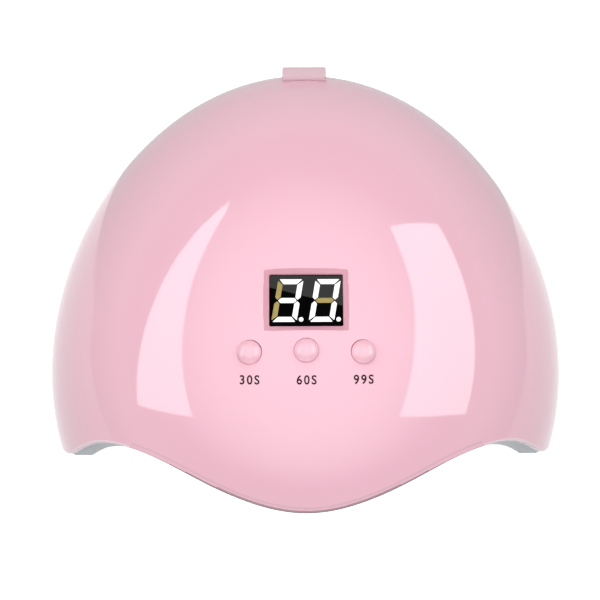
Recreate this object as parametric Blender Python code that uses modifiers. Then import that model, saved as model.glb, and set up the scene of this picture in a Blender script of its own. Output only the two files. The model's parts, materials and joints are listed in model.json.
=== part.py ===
"""UV LED nail lamp: a domed shell over a reflector bowl, with a display and three push buttons.

Metres, +Z up. The hand goes in at the front (-Y) and the power socket is at the back (+Y).
The origin is on the table, under the middle of the lamp.
"""
import math

import bmesh
import bpy
from mathutils import Matrix, Vector

OBJECT_NAME = "uv_led_nail_lamp"
CLEARANCE = 0.0003
FAR = 0.12                      # reaches past the lamp on every side, for cutters
OVERSHOOT = 0.003               # how far a cutter runs past the face it opens
SKIRT = 0.005                   # how far a dome runs on down below its rim
DEEP_SKIRT = 0.012
COARSE, MEDIUM, FINE = 12, 16, 28       # segments of round pieces, by size

# Dome: half a sphere stretched to an egg-shaped plan that is longer at the back
BASE_Z = 0.0012                 # the shell's bottom rim, held off the table by the feet
HALF_WIDTH = 0.086
HALF_DEPTH = 0.096
SKEW = 0.0105                   # moves the back out and the front in
DOME_HEIGHT = 0.0788
WALL = 0.0022
DOME_SEGMENTS = 48
DOME_RINGS = 12

# Front arch of the shell, with a dip at its middle and another at each shoulder
ARCH_HEIGHT = 0.05095
ARCH_HALF_WIDTH = 0.0826
ARCH_POWERS = (7.42, 1.18)      # of the width, which squares the arch, and of its height
ARCH_DIP = 0.00263
ARCH_DIP_WIDTH = 0.0228
SHOULDER_DIP = 0.00316
SHOULDER_DIP_WIDTH = 0.0156
SHOULDER_PLACE = 0.0627         # from the middle
ARCH_FOOT = -0.005              # arches run on down to here, below the table
ARCH_POINTS = 36
ARCH_REACH = 0.010              # the arch stops this far in front of the dome's widest place

# Reflector bowl, its mouth and the lip that meets the shell
LINER_GAP = 0.0004              # between the liner and the shell's inner side
BOWL_INSET = 0.010
BOWL_DEPTH_INSET = 0.0115
BOWL_HEIGHT = 0.0558
BOWL_WALL = 0.002
MOUTH_HEIGHT = 0.0435
MOUTH_HALF_WIDTH = 0.0715
MOUTH_POWERS = (6.2, 1.1)
MOUTH_LENGTH_END = 0.020        # the mouth tunnel ends this far in front of the dome's widest place
LIP_SETBACK = 0.005
LIP_ROOT = 0.005                # how far the lip's blank runs forward of its front line
LEG_FRONT = 0.0313              # the lip is cut straight across here at the legs
LEG_SLOPE = 0.7
LIP_THICKNESS = 0.0024
FLANGE_TOP = 0.0036

# Rear rib with the power socket, measured from the dome's widest place
RIB_WIDTH = 0.0148
RIB_FRONT = 0.0888
RIB_TOP = 0.0457
RIB_TOP_DEPTH = 0.0037
RIB_FACE = 0.1073
RIB_FACE_TOP = 0.0145
RIB_FACE_BOTTOM = 0.004
RIB_ROUNDING = 0.0008
RIB_STEPS = 7
JACK_HEIGHT = 0.0096
JACK_NOSE_RADIUS = 0.004
JACK_BORE_RADIUS = 0.0031
JACK_PIN_RADIUS = 0.001
JACK_BODY = (0.009, 0.0049, 0.0086)
JACK_BODY_REAR = 0.0102         # from the rib's face to the body's front
JACK_BACK_WALL = 0.0012
JACK_PIN_DEPTH = 0.0014

# Control panel: a frame that touches the dome at the display's middle
PANEL_FORWARD = 0.0111
PANEL_TILT = math.radians(6.0)
WINDOW_FACE = (0.0229, 0.0170)
WINDOW_MOUTH = (0.0370, 0.0238)
WINDOW_MOUTH_RISE = 0.001
WINDOW_DEPTH = 0.00135
POCKET_DEPTH = 0.0019
POCKET_GAP = 0.00035
DISPLAY_SIZE = (0.025, 0.019, 0.008)
HEADER_SIZE = (0.0127, 0.0024, 0.0022)
HEADER_OFFSET = 0.0076
BOARD_TOP = -0.013
BOARD_THICKNESS = 0.0016
BOARD_SIZE = (0.056, 0.036)
BOARD_MIDDLE = -0.006
BOARD_CORNER = 0.003
BOARD_POST = (0.024, -0.002)
BOARD_POST_RADIUS = 0.003
BOARD_PILOT_TOP = -0.0075
BOARD_SCREW_TIP = -0.0085
BOARD_HEAD_RADIUS = 0.002
BOARD_HEAD_HEIGHT = 0.0012

# Push buttons and their switches
BUTTON_PITCH = 0.0176
BUTTON_FORWARD = 0.0275
BUTTON_RADIUS = 0.00372
BUTTON_RISE = 0.0027
BUTTON_SHOULDER = 0.0005
BUTTON_HOLE_RADIUS = 0.00405
BUTTON_FLANGE_RADIUS = 0.0048
BUTTON_FLANGE_TOP = -0.0038
BUTTON_FLANGE_THICKNESS = 0.0008
BUTTON_STEM_RADIUS = 0.0015
BUTTON_TRAVEL = 0.00035
SWITCH_SIZE = (0.006, 0.006, 0.0035)
SWITCH_BORE_RADIUS = 0.00205
SWITCH_BORE_DEPTH = 0.0015
PLUNGER_RADIUS = 0.0017
PLUNGER_TOP = 0.0048            # above the board

# UV LED beads: rings of the bowl as (latitude, first longitude, last longitude, count) in degrees
LED_RINGS = ((20.0, -3.0, 183.0, 8), (48.0, -10.0, 190.0, 6), (75.0, 45.0, 315.0, 4))
LED_RADIUS = 0.0023
LED_HOLE_RADIUS = 0.00265
LED_LENS_RISE = 0.0012
LED_BACK = 0.001                # how far a bead stands out of the bowl's outer face
STRIP_GAP = 0.0015
STRIP_THICKNESS = 0.0008
STRIP_HALF_LATITUDE = 4.2
STRIP_END = 5.0                 # degrees of strip past the last bead
TOP_STRIP_HALF = 0.26

# Case screws and feet, placed by their angle round the rim, where 90 degrees is the back
SCREW_ANGLES = (8.0, 172.0, 68.0, 112.0)
FOOT_ANGLES = (-17.0, 197.0, 48.0, 132.0)
SCREW_INSET = 0.0063
FOOT_INSET = 0.0071
FOOT_RADIUS = 0.0035
FOOT_HEIGHT = 0.0013
BOSS_RADIUS = 0.003
BOSS_TOP = 0.0145
BOSS_WEB = (0.0042, 0.003)
WEB_INSET = 0.0005              # a web starts and stops this far inside its boss
PILOT_RADIUS = 0.0014
SHANK_RADIUS = 0.0011
SCREW_TIP = 0.0122
SCREW_HEAD_RADIUS = 0.0023
SCREW_HEAD_HEIGHT = 0.0009
HEAD_RECESS = 0.0026            # top of the recess for a screw's head, above the table

# Wires, laid on an egg between the bowl and the shell; latitudes and longitudes in degrees
WIRE_RADIUS = 0.0007
WIRE_WAY_AXES = (0.080, 0.0895, 0.062)
POWER_WIRE_OFFSET = 0.0014
POWER_WIRE_START = (0.0104, -0.017)
POWER_WIRE_LATITUDES = (82.0, 13.2)
POWER_WIRE_STEPS = 9
LED_WIRE_BACK = -0.002
LED_WIRE_LATITUDES = (62.0, 25.0)
LED_WIRE_LONGITUDES = (12.0, 27.0)
LED_WIRE_STEPS = 5

# Colour, roughness and metallic value of each material
FINISHES = {
    "pink_shell": ((0.92, 0.56, 0.66), 0.12, 0.0),
    "pink_button": ((0.93, 0.60, 0.70), 0.2, 0.0),
    "grey_liner": ((0.55, 0.57, 0.59), 0.3, 0.2),
    "display_black": ((0.01, 0.01, 0.012), 0.15, 0.0),
    "board_green": ((0.02, 0.20, 0.07), 0.5, 0.0),
    "black_plastic": ((0.02, 0.02, 0.02), 0.5, 0.0),
    "led_lens": ((0.85, 0.82, 0.55), 0.1, 0.0),
    "strip_white": ((0.85, 0.85, 0.85), 0.5, 0.0),
    "steel": ((0.6, 0.6, 0.6), 0.3, 1.0),
    "rubber_grey": ((0.15, 0.15, 0.15), 0.8, 0.0),
    "wire_red": ((0.6, 0.02, 0.02), 0.5, 0.0),
    "wire_black": ((0.02, 0.02, 0.02), 0.5, 0.0),
    "wire_white": ((0.8, 0.8, 0.8), 0.5, 0.0),
}


def arch_z(x, half_width, height, powers):
    """Height of an arch with steep sides and a flat top, above the table."""
    return height * max(1 - (abs(x) / half_width) ** powers[0], 0.0) ** powers[1]


def mouth_arch(x, grow=0.0):
    return arch_z(x, MOUTH_HALF_WIDTH + grow, MOUTH_HEIGHT + grow, MOUTH_POWERS)


def shell_arch(x):
    middle = ARCH_DIP * math.exp(-(x / ARCH_DIP_WIDTH) ** 2)
    shoulder = SHOULDER_DIP * math.exp(-((abs(x) - SHOULDER_PLACE) / SHOULDER_DIP_WIDTH) ** 2)
    return arch_z(x, ARCH_HALF_WIDTH, ARCH_HEIGHT, ARCH_POWERS) - middle - shoulder


class Egg:
    """The dome shape: half a unit sphere stretched to its half axes, with y bent by SKEW."""

    def __init__(self, half_width, half_depth, height, middle_y=0.0):
        self.half_width = half_width
        self.half_depth = half_depth
        self.height = height
        self.middle_y = middle_y

    def grown(self, amount):
        return Egg(self.half_width + amount, self.half_depth + amount, self.height + amount, self.middle_y)

    def place(self, unit):
        y = self.half_depth * unit[1] + SKEW * unit[1] ** 2
        return Vector((self.half_width * unit[0], self.middle_y + y, BASE_Z + self.height * unit[2]))

    def normal(self, unit):
        slope_y = self.half_depth + 2 * SKEW * unit[1]
        return Vector((unit[0] / self.half_width, unit[1] / slope_y, unit[2] / self.height)).normalized()

    def eta(self, y):
        root = math.sqrt(self.half_depth ** 2 + 4 * SKEW * (y - self.middle_y))
        return (root - self.half_depth) / (2 * SKEW)

    def top_z(self, x, y):
        return BASE_Z + self.height * math.sqrt(1 - (x / self.half_width) ** 2 - self.eta(y) ** 2)

    def side_y(self, x, z, side):
        """y of the surface at x and z, at the front for side -1 and at the back for side 1."""
        rest = 1 - (x / self.half_width) ** 2 - ((z - BASE_Z) / self.height) ** 2
        return self.place((0, side * math.sqrt(max(rest, 0.0)), 0)).y


def unit_point(longitude, latitude):
    """Point of the unit sphere from angles in degrees."""
    lon, lat = math.radians(longitude), math.radians(latitude)
    return (math.cos(lat) * math.cos(lon), math.cos(lat) * math.sin(lon), math.sin(lat))


VISOR_FRONT = Egg(HALF_WIDTH, HALF_DEPTH, DOME_HEIGHT).side_y(0, shell_arch(0), -1)
DOME_Y = -(VISOR_FRONT + RIB_FACE) / 2
OUTER = Egg(HALF_WIDTH, HALF_DEPTH, DOME_HEIGHT, DOME_Y)
ENVELOPE = OUTER.grown(-WALL - LINER_GAP)
BOWL = Egg(HALF_WIDTH - BOWL_INSET, HALF_DEPTH - BOWL_DEPTH_INSET, BOWL_HEIGHT, DOME_Y)
WIRE_WAY = Egg(*WIRE_WAY_AXES, DOME_Y)

PANEL_POINT = Vector((0, DOME_Y - PANEL_FORWARD, OUTER.top_z(0, DOME_Y - PANEL_FORWARD)))
PANEL = Matrix.Translation(PANEL_POINT) @ Matrix.Rotation(PANEL_TILT, 4, "X")


def clear_scene():
    for item in list(bpy.data.objects):
        bpy.data.objects.remove(item, do_unlink=True)


def new_collection(name):
    collection = bpy.data.collections.new(name)
    bpy.context.scene.collection.children.link(collection)
    return collection


clear_scene()
PARTS = new_collection(OBJECT_NAME)
CUTTERS = new_collection("cutters")


def material(name):
    if name not in bpy.data.materials:
        color, roughness, metallic = FINISHES[name]
        made = bpy.data.materials.new(name)
        made.use_nodes = True
        shader = made.node_tree.nodes["Principled BSDF"]
        shader.inputs["Base Color"].default_value = (*color, 1)
        shader.inputs["Roughness"].default_value = roughness
        shader.inputs["Metallic"].default_value = metallic
        made.diffuse_color = (*color, 1)
    return bpy.data.materials[name]


def add_object(name, mesh, finish=None, matrix=None):
    """Adds a part when it has a finish, and a cutter when it has none."""
    made = bpy.data.objects.new(name, mesh)
    if matrix is not None:
        made.matrix_world = matrix
    if finish:
        PARTS.objects.link(made)
        mesh.materials.append(material(finish))
    else:
        CUTTERS.objects.link(made)
        made.hide_render = True
        made.display_type = "WIRE"
    return made


def mesh_from(name, bm):
    mesh = bpy.data.meshes.new(name)
    bm.to_mesh(mesh)
    bm.free()
    return mesh


def shade_round(made, angle=35):
    made.data.shade_smooth()
    made.data.set_sharp_from_angle(angle=math.radians(angle))


def boolean(target, tool, operation="DIFFERENCE"):
    modifier = target.modifiers.new(tool.name, "BOOLEAN")
    modifier.operation = operation
    modifier.solver = "EXACT"
    modifier.object = tool


def box(name, size, low_z, finish=None, matrix=None):
    """A box centred on x = y = 0, standing on low_z."""
    bm = bmesh.new()
    middle = Matrix.Translation((0, 0, low_z + size[2] / 2))
    bmesh.ops.create_cube(bm, size=1, matrix=middle @ Matrix.Diagonal((*size, 1)))
    return add_object(name, mesh_from(name, bm), finish, matrix)


def tapered_box(name, low_size, high_size, low_z, high_z, matrix):
    bm = bmesh.new()
    bmesh.ops.create_cube(bm, size=1)
    for vert in bm.verts:
        size = high_size if vert.co.z > 0 else low_size
        z = high_z if vert.co.z > 0 else low_z
        vert.co = Vector((vert.co.x * size[0], vert.co.y * size[1], z))
    return add_object(name, mesh_from(name, bm), None, matrix)


def drills(name, places, radius, low_z, high_z, segments=20):
    """One cutter or post set: a cylinder from low_z to high_z on the Z axis of each place."""
    bm = bmesh.new()
    depth = high_z - low_z
    for place in places:
        middle = place @ Matrix.Translation((0, 0, (low_z + high_z) / 2))
        bmesh.ops.create_cone(bm, cap_ends=True, segments=segments, radius1=radius, radius2=radius,
                              depth=depth, matrix=middle)
    return add_object(name, mesh_from(name, bm))


def turned(name, profile, finish, matrix, steps=20):
    """Turns (radius, height) points, listed from the top down the outer side, about the Z axis."""
    mesh = bpy.data.meshes.new(name)
    edges = [(i, i + 1) for i in range(len(profile) - 1)]
    mesh.from_pydata([(radius, 0, height) for radius, height in profile], edges, [])
    made = add_object(name, mesh, finish, matrix)
    screw = made.modifiers.new("turn", "SCREW")
    screw.axis = "Z"
    screw.angle = math.tau
    screw.steps = screw.render_steps = steps
    screw.use_merge_vertices = True
    screw.merge_threshold = 0.00001
    screw.use_smooth_shade = True
    return made


def outline_solid(name, points, low, high, axis, finish=None, matrix=None):
    """A filled 2D outline, swept from low to high along X, Y or Z and turned into a welded mesh."""
    curve = bpy.data.curves.new(name, "CURVE")
    curve.dimensions = "2D"
    curve.fill_mode = "BOTH"
    curve.extrude = (high - low) / 2
    spline = curve.splines.new("POLY")
    spline.points.add(len(points) - 1)
    for target, (across, up) in zip(spline.points, points):
        target.co = (across, up, 0, 1)
    spline.use_cyclic_u = True
    holder = bpy.data.objects.new(name, curve)
    CUTTERS.objects.link(holder)
    # The outline's own (across, up, sweep) axes become (y, z, x), (x, z, -y) or (x, y, z).
    turn = {
        "X": Matrix(((0, 0, 1, 0), (1, 0, 0, 0), (0, 1, 0, 0), (0, 0, 0, 1))),
        "Y": Matrix(((1, 0, 0, 0), (0, 0, -1, 0), (0, 1, 0, 0), (0, 0, 0, 1))),
        "Z": Matrix.Identity(4),
    }[axis]
    middle = (low + high) / 2
    shift = Matrix.Translation((0, 0, -middle if axis == "Y" else middle))
    bpy.context.view_layer.update()
    evaluated = holder.evaluated_get(bpy.context.evaluated_depsgraph_get())
    mesh = bpy.data.meshes.new_from_object(evaluated)
    bpy.data.objects.remove(holder)
    bm = bmesh.new()
    bm.from_mesh(mesh)
    bpy.data.meshes.remove(mesh)
    bmesh.ops.remove_doubles(bm, verts=bm.verts, dist=0.000001)
    bmesh.ops.transform(bm, matrix=turn @ shift, verts=bm.verts)
    bmesh.ops.recalc_face_normals(bm, faces=bm.faces)
    return add_object(name, mesh_from(name, bm), finish, matrix)


def egg_mesh(name, egg, skirt=None):
    """The dome as an open surface, or as a solid whose side runs on down by skirt."""
    bm = bmesh.new()
    bmesh.ops.create_uvsphere(bm, u_segments=DOME_SEGMENTS, v_segments=2 * DOME_RINGS, radius=1)
    below = [vert for vert in bm.verts if vert.co.z < -0.0001]
    bmesh.ops.delete(bm, geom=below, context="VERTS")
    for vert in bm.verts:
        vert.co = egg.place(vert.co)
    if skirt:
        rim = [edge for edge in bm.edges if edge.is_boundary]
        lower = bmesh.ops.extrude_edge_only(bm, edges=rim)["geom"]
        moved = [item for item in lower if isinstance(item, bmesh.types.BMVert)]
        bmesh.ops.translate(bm, verts=moved, vec=(0, 0, -skirt))
        bmesh.ops.holes_fill(bm, edges=[edge for edge in bm.edges if edge.is_boundary], sides=0)
        bmesh.ops.recalc_face_normals(bm, faces=bm.faces)
    return mesh_from(name, bm)


def rim_place(egg, angle):
    """A frame on the table under the egg's rim, with its X axis pointing out of the lamp."""
    unit = unit_point(angle, 0)
    place = egg.place(unit)
    turn = egg.normal(unit).to_track_quat("X", "Z").to_matrix().to_4x4()
    return Matrix.Translation((place.x, place.y, 0)) @ turn


def arch_outline(half_width, arch):
    """Outline of the space under an arch, run on below the table; arch gives its height at x."""
    points = [(half_width, ARCH_FOOT), (-half_width, ARCH_FOOT)]
    for i in range(ARCH_POINTS + 1):
        x = -half_width * math.cos(math.pi * i / ARCH_POINTS)
        points.append((x, arch(x)))
    return points


def rib_outline():
    """Side view of the rear rib as (y, z); its inner side runs inside the shell's wall."""
    middle_wall = OUTER.grown(-WALL / 2)
    points = [(RIB_FRONT, RIB_TOP), (RIB_FRONT + RIB_TOP_DEPTH, RIB_TOP),
              (RIB_FACE, RIB_FACE_TOP), (RIB_FACE, RIB_FACE_BOTTOM)]
    points = [(DOME_Y + y, z) for y, z in points]
    low, high = RIB_FACE_BOTTOM, middle_wall.top_z(0, DOME_Y + RIB_FRONT)
    for i in range(RIB_STEPS + 1):
        z = low + (high - low) * i / RIB_STEPS
        points.append((middle_wall.side_y(0, z, 1), z))
    return points


def panel_surface(across, back):
    """Height of the dome's outer surface above the panel frame, at a place of the panel."""
    height = 0.0
    for _ in range(12):
        point = PANEL @ Vector((across, back, height))
        height += (OUTER.top_z(point.x, point.y) - point.z) / math.cos(PANEL_TILT)
    return height


def button_places():
    """Name and frame of each button, on the dome's surface and square to the board."""
    back = -(BUTTON_FORWARD - PANEL_FORWARD) / math.cos(PANEL_TILT)
    places = []
    for name, across in (("left", -BUTTON_PITCH), ("middle", 0.0), ("right", BUTTON_PITCH)):
        height = panel_surface(across, back)
        places.append((name, across, back, height, PANEL @ Matrix.Translation((across, back, height))))
    return places


def build_shell():
    """Pink outer shell with its arch, window, button holes, rear rib, screw bosses and board posts."""
    shell = add_object("outer_shell", egg_mesh("outer_shell", OUTER), "pink_shell")
    wall = shell.modifiers.new("wall", "SOLIDIFY")
    wall.thickness = WALL
    wall.offset = -1
    wall.use_even_offset = True
    arch = outline_solid("arch_cutter", arch_outline(ARCH_HALF_WIDTH, shell_arch),
                         DOME_Y - FAR, DOME_Y - ARCH_REACH, "Y")
    boolean(shell, arch)
    rib = outline_solid("rib", rib_outline(), -RIB_WIDTH / 2, RIB_WIDTH / 2, "X")
    rounding = rib.modifiers.new("rounding", "BEVEL")
    rounding.width = RIB_ROUNDING
    rounding.segments = 2
    rounding.limit_method = "ANGLE"
    rounding.angle_limit = math.radians(40)
    boolean(shell, rib, "UNION")

    screw_places = [rim_place(OUTER.grown(-SCREW_INSET), angle) for angle in SCREW_ANGLES]
    boss_low = FLANGE_TOP + CLEARANCE
    bosses = drills("screw_bosses", screw_places, BOSS_RADIUS, boss_low, BOSS_TOP)
    boolean(shell, bosses, "UNION")
    web_size = (*BOSS_WEB, BOSS_TOP - boss_low - 2 * WEB_INSET)
    for i, place in enumerate(screw_places):
        web_place = place @ Matrix.Translation((BOSS_WEB[0] / 2, 0, 0))
        boolean(shell, box(f"boss_web_{i + 1}", web_size, boss_low + WEB_INSET, None, web_place), "UNION")
    boolean(shell, drills("pilot_holes", screw_places, PILOT_RADIUS, 0, SCREW_TIP + 2 * CLEARANCE, COARSE))

    posts = [PANEL @ Matrix.Translation((side * BOARD_POST[0], BOARD_POST[1], 0)) for side in (-1, 1)]
    post_top = panel_surface(*BOARD_POST) - WALL / 2
    boolean(shell, drills("board_posts", posts, BOARD_POST_RADIUS, BOARD_TOP + CLEARANCE, post_top), "UNION")
    pilots = drills("board_pilots", posts, SHANK_RADIUS, BOARD_TOP - OVERSHOOT, BOARD_PILOT_TOP, COARSE)
    boolean(shell, pilots)

    window = tapered_box("window_cutter", WINDOW_FACE, WINDOW_MOUTH, -WINDOW_DEPTH, WINDOW_MOUTH_RISE, PANEL)
    boolean(shell, window)
    hole = (*WINDOW_FACE, 2 * OVERSHOOT)
    boolean(shell, box("window_hole", hole, -POCKET_DEPTH - OVERSHOOT, None, PANEL))
    pocket = (DISPLAY_SIZE[0] + 2 * POCKET_GAP, DISPLAY_SIZE[1] + 2 * POCKET_GAP, 2 * OVERSHOOT)
    boolean(shell, box("display_pocket", pocket, -POCKET_DEPTH - pocket[2], None, PANEL))
    places = [place for *_, place in button_places()]
    low = -WALL - 2 * OVERSHOOT
    boolean(shell, drills("button_holes", places, BUTTON_HOLE_RADIUS, low, OVERSHOOT, FINE))

    socket = Matrix.Translation((0, DOME_Y + RIB_FACE, JACK_HEIGHT)) @ Matrix.Rotation(math.pi / 2, 4, "X")
    nose_radius = JACK_NOSE_RADIUS + CLEARANCE
    boolean(shell, drills("socket_hole", [socket], nose_radius, -OVERSHOOT, 2 * OVERSHOOT, FINE))
    shade_round(shell)


def lip_line():
    """Front of the liner's lip in plan: the shell's arch edge moved back, and cut off across the legs."""
    points = []
    for i in range(ARCH_POINTS + 1):
        x = -ARCH_HALF_WIDTH * math.cos(math.pi * i / ARCH_POINTS)
        edge = OUTER.side_y(x, max(shell_arch(x), BASE_Z), -1) + LIP_SETBACK
        leg = DOME_Y - LEG_FRONT - LEG_SLOPE * max(MOUTH_HALF_WIDTH - abs(x), 0)
        points.append((x, max(edge, leg)))
    return [(-HALF_WIDTH, points[0][1])] + points + [(HALF_WIDTH, points[-1][1])]


def led_places():
    """Frames on the bowl's outer face, one for each LED, with Z pointing into the bowl."""
    places = []
    for latitude, first, last, count in LED_RINGS:
        for i in range(count):
            unit = unit_point(first + (last - first) * i / (count - 1), latitude)
            turn = (-BOWL.normal(unit)).to_track_quat("Z", "Y").to_matrix().to_4x4()
            places.append(Matrix.Translation(BOWL.place(unit)) @ turn)
    return places


def build_liner():
    """Grey reflector bowl with its mouth tunnel, front lip and bottom flange."""
    liner = add_object("inner_liner", egg_mesh("inner_liner", BOWL, SKIRT), "grey_liner")
    tunnel_end = DOME_Y - MOUTH_LENGTH_END
    outside = arch_outline(MOUTH_HALF_WIDTH + BOWL_WALL, lambda x: mouth_arch(x, BOWL_WALL))
    tunnel = outline_solid("tunnel_outside", outside, DOME_Y - FAR + OVERSHOOT, tunnel_end + BOWL_WALL, "Y")
    boolean(liner, tunnel, "UNION")
    line = lip_line()
    band = [(x, y - LIP_ROOT) for x, y in line] + [(x, y + LIP_THICKNESS) for x, y in reversed(line)]
    boolean(liner, outline_solid("lip_band", band, -OVERSHOOT, FAR, "Z"), "UNION")
    slab = (2 * FAR, 2 * FAR, FLANGE_TOP + 2 * OVERSHOOT)
    boolean(liner, box("flange_slab", slab, -2 * OVERSHOOT), "UNION")
    boolean(liner, add_object("shell_space", egg_mesh("shell_space", ENVELOPE, DEEP_SKIRT)), "INTERSECT")
    front = line + [(FAR, line[-1][1]), (FAR, -2 * FAR), (-FAR, -2 * FAR), (-FAR, line[0][1])]
    boolean(liner, outline_solid("front_cutter", front, -FAR, FAR, "Z"))
    hollow = BOWL.grown(-BOWL_WALL)
    boolean(liner, add_object("bowl_space", egg_mesh("bowl_space", hollow, DEEP_SKIRT)))
    mouth = arch_outline(MOUTH_HALF_WIDTH, mouth_arch)
    boolean(liner, outline_solid("mouth_space", mouth, DOME_Y - FAR, tunnel_end, "Y"))
    boolean(liner, box("floor_cutter", (2 * FAR, 2 * FAR, FAR), BASE_Z - FAR))

    holes = drills("led_holes", led_places(), LED_HOLE_RADIUS, -OVERSHOOT, BOWL_WALL + OVERSHOOT, COARSE)
    boolean(liner, holes)
    screw_places = [rim_place(OUTER.grown(-SCREW_INSET), angle) for angle in SCREW_ANGLES]
    shank_hole, head_hole = SHANK_RADIUS + LINER_GAP, SCREW_HEAD_RADIUS + CLEARANCE
    boolean(liner, drills("screw_holes", screw_places, shank_hole, 0, FLANGE_TOP + OVERSHOOT, COARSE))
    boolean(liner, drills("screw_recesses", screw_places, head_hole, 0, HEAD_RECESS, MEDIUM))
    foot_places = [rim_place(OUTER.grown(-FOOT_INSET), angle) for angle in FOOT_ANGLES]
    boolean(liner, drills("foot_recesses", foot_places, FOOT_RADIUS + CLEARANCE, 0, FOOT_HEIGHT + CLEARANCE))
    shade_round(liner)


def build_display():
    """Display module behind the window, and the pin strips that raise it off the board."""
    box("display_module", DISPLAY_SIZE, -POCKET_DEPTH - CLEARANCE - DISPLAY_SIZE[2], "display_black", PANEL)
    for name, side in (("front", -1), ("rear", 1)):
        place = PANEL @ Matrix.Translation((0, side * HEADER_OFFSET, 0))
        box(f"display_header_{name}", HEADER_SIZE, BOARD_TOP + CLEARANCE, "black_plastic", place)


def rounded_rectangle(width, depth, radius, steps=4):
    """Corner arcs of a rectangle round x = y = 0."""
    points = []
    corners = ((1, 1, 0), (-1, 1, 90), (-1, -1, 180), (1, -1, 270))
    for side_x, side_y, start in corners:
        for i in range(steps + 1):
            angle = math.radians(start + 90 * i / steps)
            points.append((side_x * (width / 2 - radius) + radius * math.cos(angle),
                           side_y * (depth / 2 - radius) + radius * math.sin(angle)))
    return points


def build_board():
    """Control board under the panel, with the parts on its lower side and its two screws."""
    low = BOARD_TOP - BOARD_THICKNESS
    outline = [(x, y + BOARD_MIDDLE) for x, y in rounded_rectangle(*BOARD_SIZE, BOARD_CORNER)]
    board = outline_solid("control_board", outline, low, BOARD_TOP, "Z", "board_green", PANEL)
    holes = [Matrix.Translation((side * BOARD_POST[0], BOARD_POST[1], 0)) for side in (-1, 1)]
    radius = SHANK_RADIUS + CLEARANCE
    hole_cutter = drills("board_holes", holes, radius, low - OVERSHOOT, BOARD_TOP + OVERSHOOT, MEDIUM)
    hole_cutter.matrix_world = PANEL
    boolean(board, hole_cutter)

    under = low - CLEARANCE
    chips = (
        ("mcu_chip", (0.0099, 0.0039, 0.0015), (-0.010, -0.002), "black_plastic"),
        ("power_mosfet", (0.0066, 0.0061, 0.0023), (0.011, -0.002), "black_plastic"),
        ("power_connector", (0.0075, 0.0058, 0.004), (0.0, 0.007), "strip_white"),
    )
    for name, size, (across, back), finish in chips:
        box(name, size, under - size[2], finish, PANEL @ Matrix.Translation((across, back, 0)))
    radius, height, edge = 0.00315, 0.0055, 0.0004
    can = [(0, under), (radius - edge, under), (radius, under - edge),
           (radius, under - height + edge), (radius - edge, under - height), (0, under - height)]
    spot = (0.017, -0.014, 0)
    turned("filter_capacitor", can, "black_plastic", PANEL @ Matrix.Translation(spot))

    shank, head, head_low = SHANK_RADIUS - CLEARANCE, BOARD_HEAD_RADIUS, under - BOARD_HEAD_HEIGHT
    screw = [(0, BOARD_SCREW_TIP), (shank, BOARD_SCREW_TIP - edge), (shank, under),
             (head, under), (head, head_low + edge), (head - edge, head_low), (0, head_low)]
    for name, place in zip(("left", "right"), holes):
        turned(f"board_screw_{name}", screw, "steel", PANEL @ place, MEDIUM)


def button_profile(stem_low):
    """A domed cap, the flange that keeps it in, and the stem that reaches the switch."""
    rise = BUTTON_RISE - BUTTON_SHOULDER
    ball = (BUTTON_RADIUS ** 2 + rise ** 2) / (2 * rise)
    spread = math.asin(BUTTON_RADIUS / ball)
    steps = 4
    points = []
    for i in range(steps + 1):
        angle = spread * i / steps
        points.append((ball * math.sin(angle), BUTTON_RISE - ball * (1 - math.cos(angle))))
    flange_low = BUTTON_FLANGE_TOP - BUTTON_FLANGE_THICKNESS
    points += [(BUTTON_RADIUS, BUTTON_FLANGE_TOP), (BUTTON_FLANGE_RADIUS, BUTTON_FLANGE_TOP),
               (BUTTON_FLANGE_RADIUS, flange_low), (BUTTON_STEM_RADIUS, flange_low),
               (BUTTON_STEM_RADIUS, stem_low), (0, stem_low)]
    return points


def build_buttons():
    """Three caps, each over a switch body on the board and the plunger that moves in it."""
    plunger_top = BOARD_TOP + PLUNGER_TOP
    body_low = BOARD_TOP + CLEARANCE
    body_top = body_low + SWITCH_SIZE[2]
    bore_low = body_top - SWITCH_BORE_DEPTH
    for name, across, back, height, place in button_places():
        stem_low = plunger_top + CLEARANCE - height
        turned(f"button_{name}", button_profile(stem_low), "pink_button", place, 20)
        spot = PANEL @ Matrix.Translation((across, back, 0))
        body = box(f"tact_switch_{name}", SWITCH_SIZE, body_low, "black_plastic", spot)
        bore_top = body_top + OVERSHOOT
        boolean(body, drills(f"switch_bore_{name}", [spot], SWITCH_BORE_RADIUS, bore_low, bore_top, MEDIUM))
        low = bore_low + BUTTON_TRAVEL + CLEARANCE - plunger_top
        plunger = [(0, 0), (PLUNGER_RADIUS, 0), (PLUNGER_RADIUS, low), (0, low)]
        turned(f"switch_plunger_{name}", plunger, "pink_button",
               spot @ Matrix.Translation((0, 0, plunger_top)), MEDIUM)


def patch(name, egg, unit_of, columns, rows, thickness, finish):
    """A curved strip on an egg; unit_of turns two numbers from 0 to 1 into a unit sphere point."""
    bm = bmesh.new()
    bmesh.ops.create_grid(bm, x_segments=columns, y_segments=rows, size=0.5)
    for vert in bm.verts:
        vert.co = egg.place(unit_of(vert.co.x + 0.5, vert.co.y + 0.5))
    bm.normal_update()
    first = next(iter(bm.faces))
    if first.normal.dot(first.calc_center_median() - Vector((0, egg.middle_y, BASE_Z))) < 0:
        bmesh.ops.reverse_faces(bm, faces=bm.faces)
    made = add_object(name, mesh_from(name, bm), finish)
    wall = made.modifiers.new("thickness", "SOLIDIFY")
    wall.thickness = thickness
    wall.offset = 1
    return made


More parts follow.
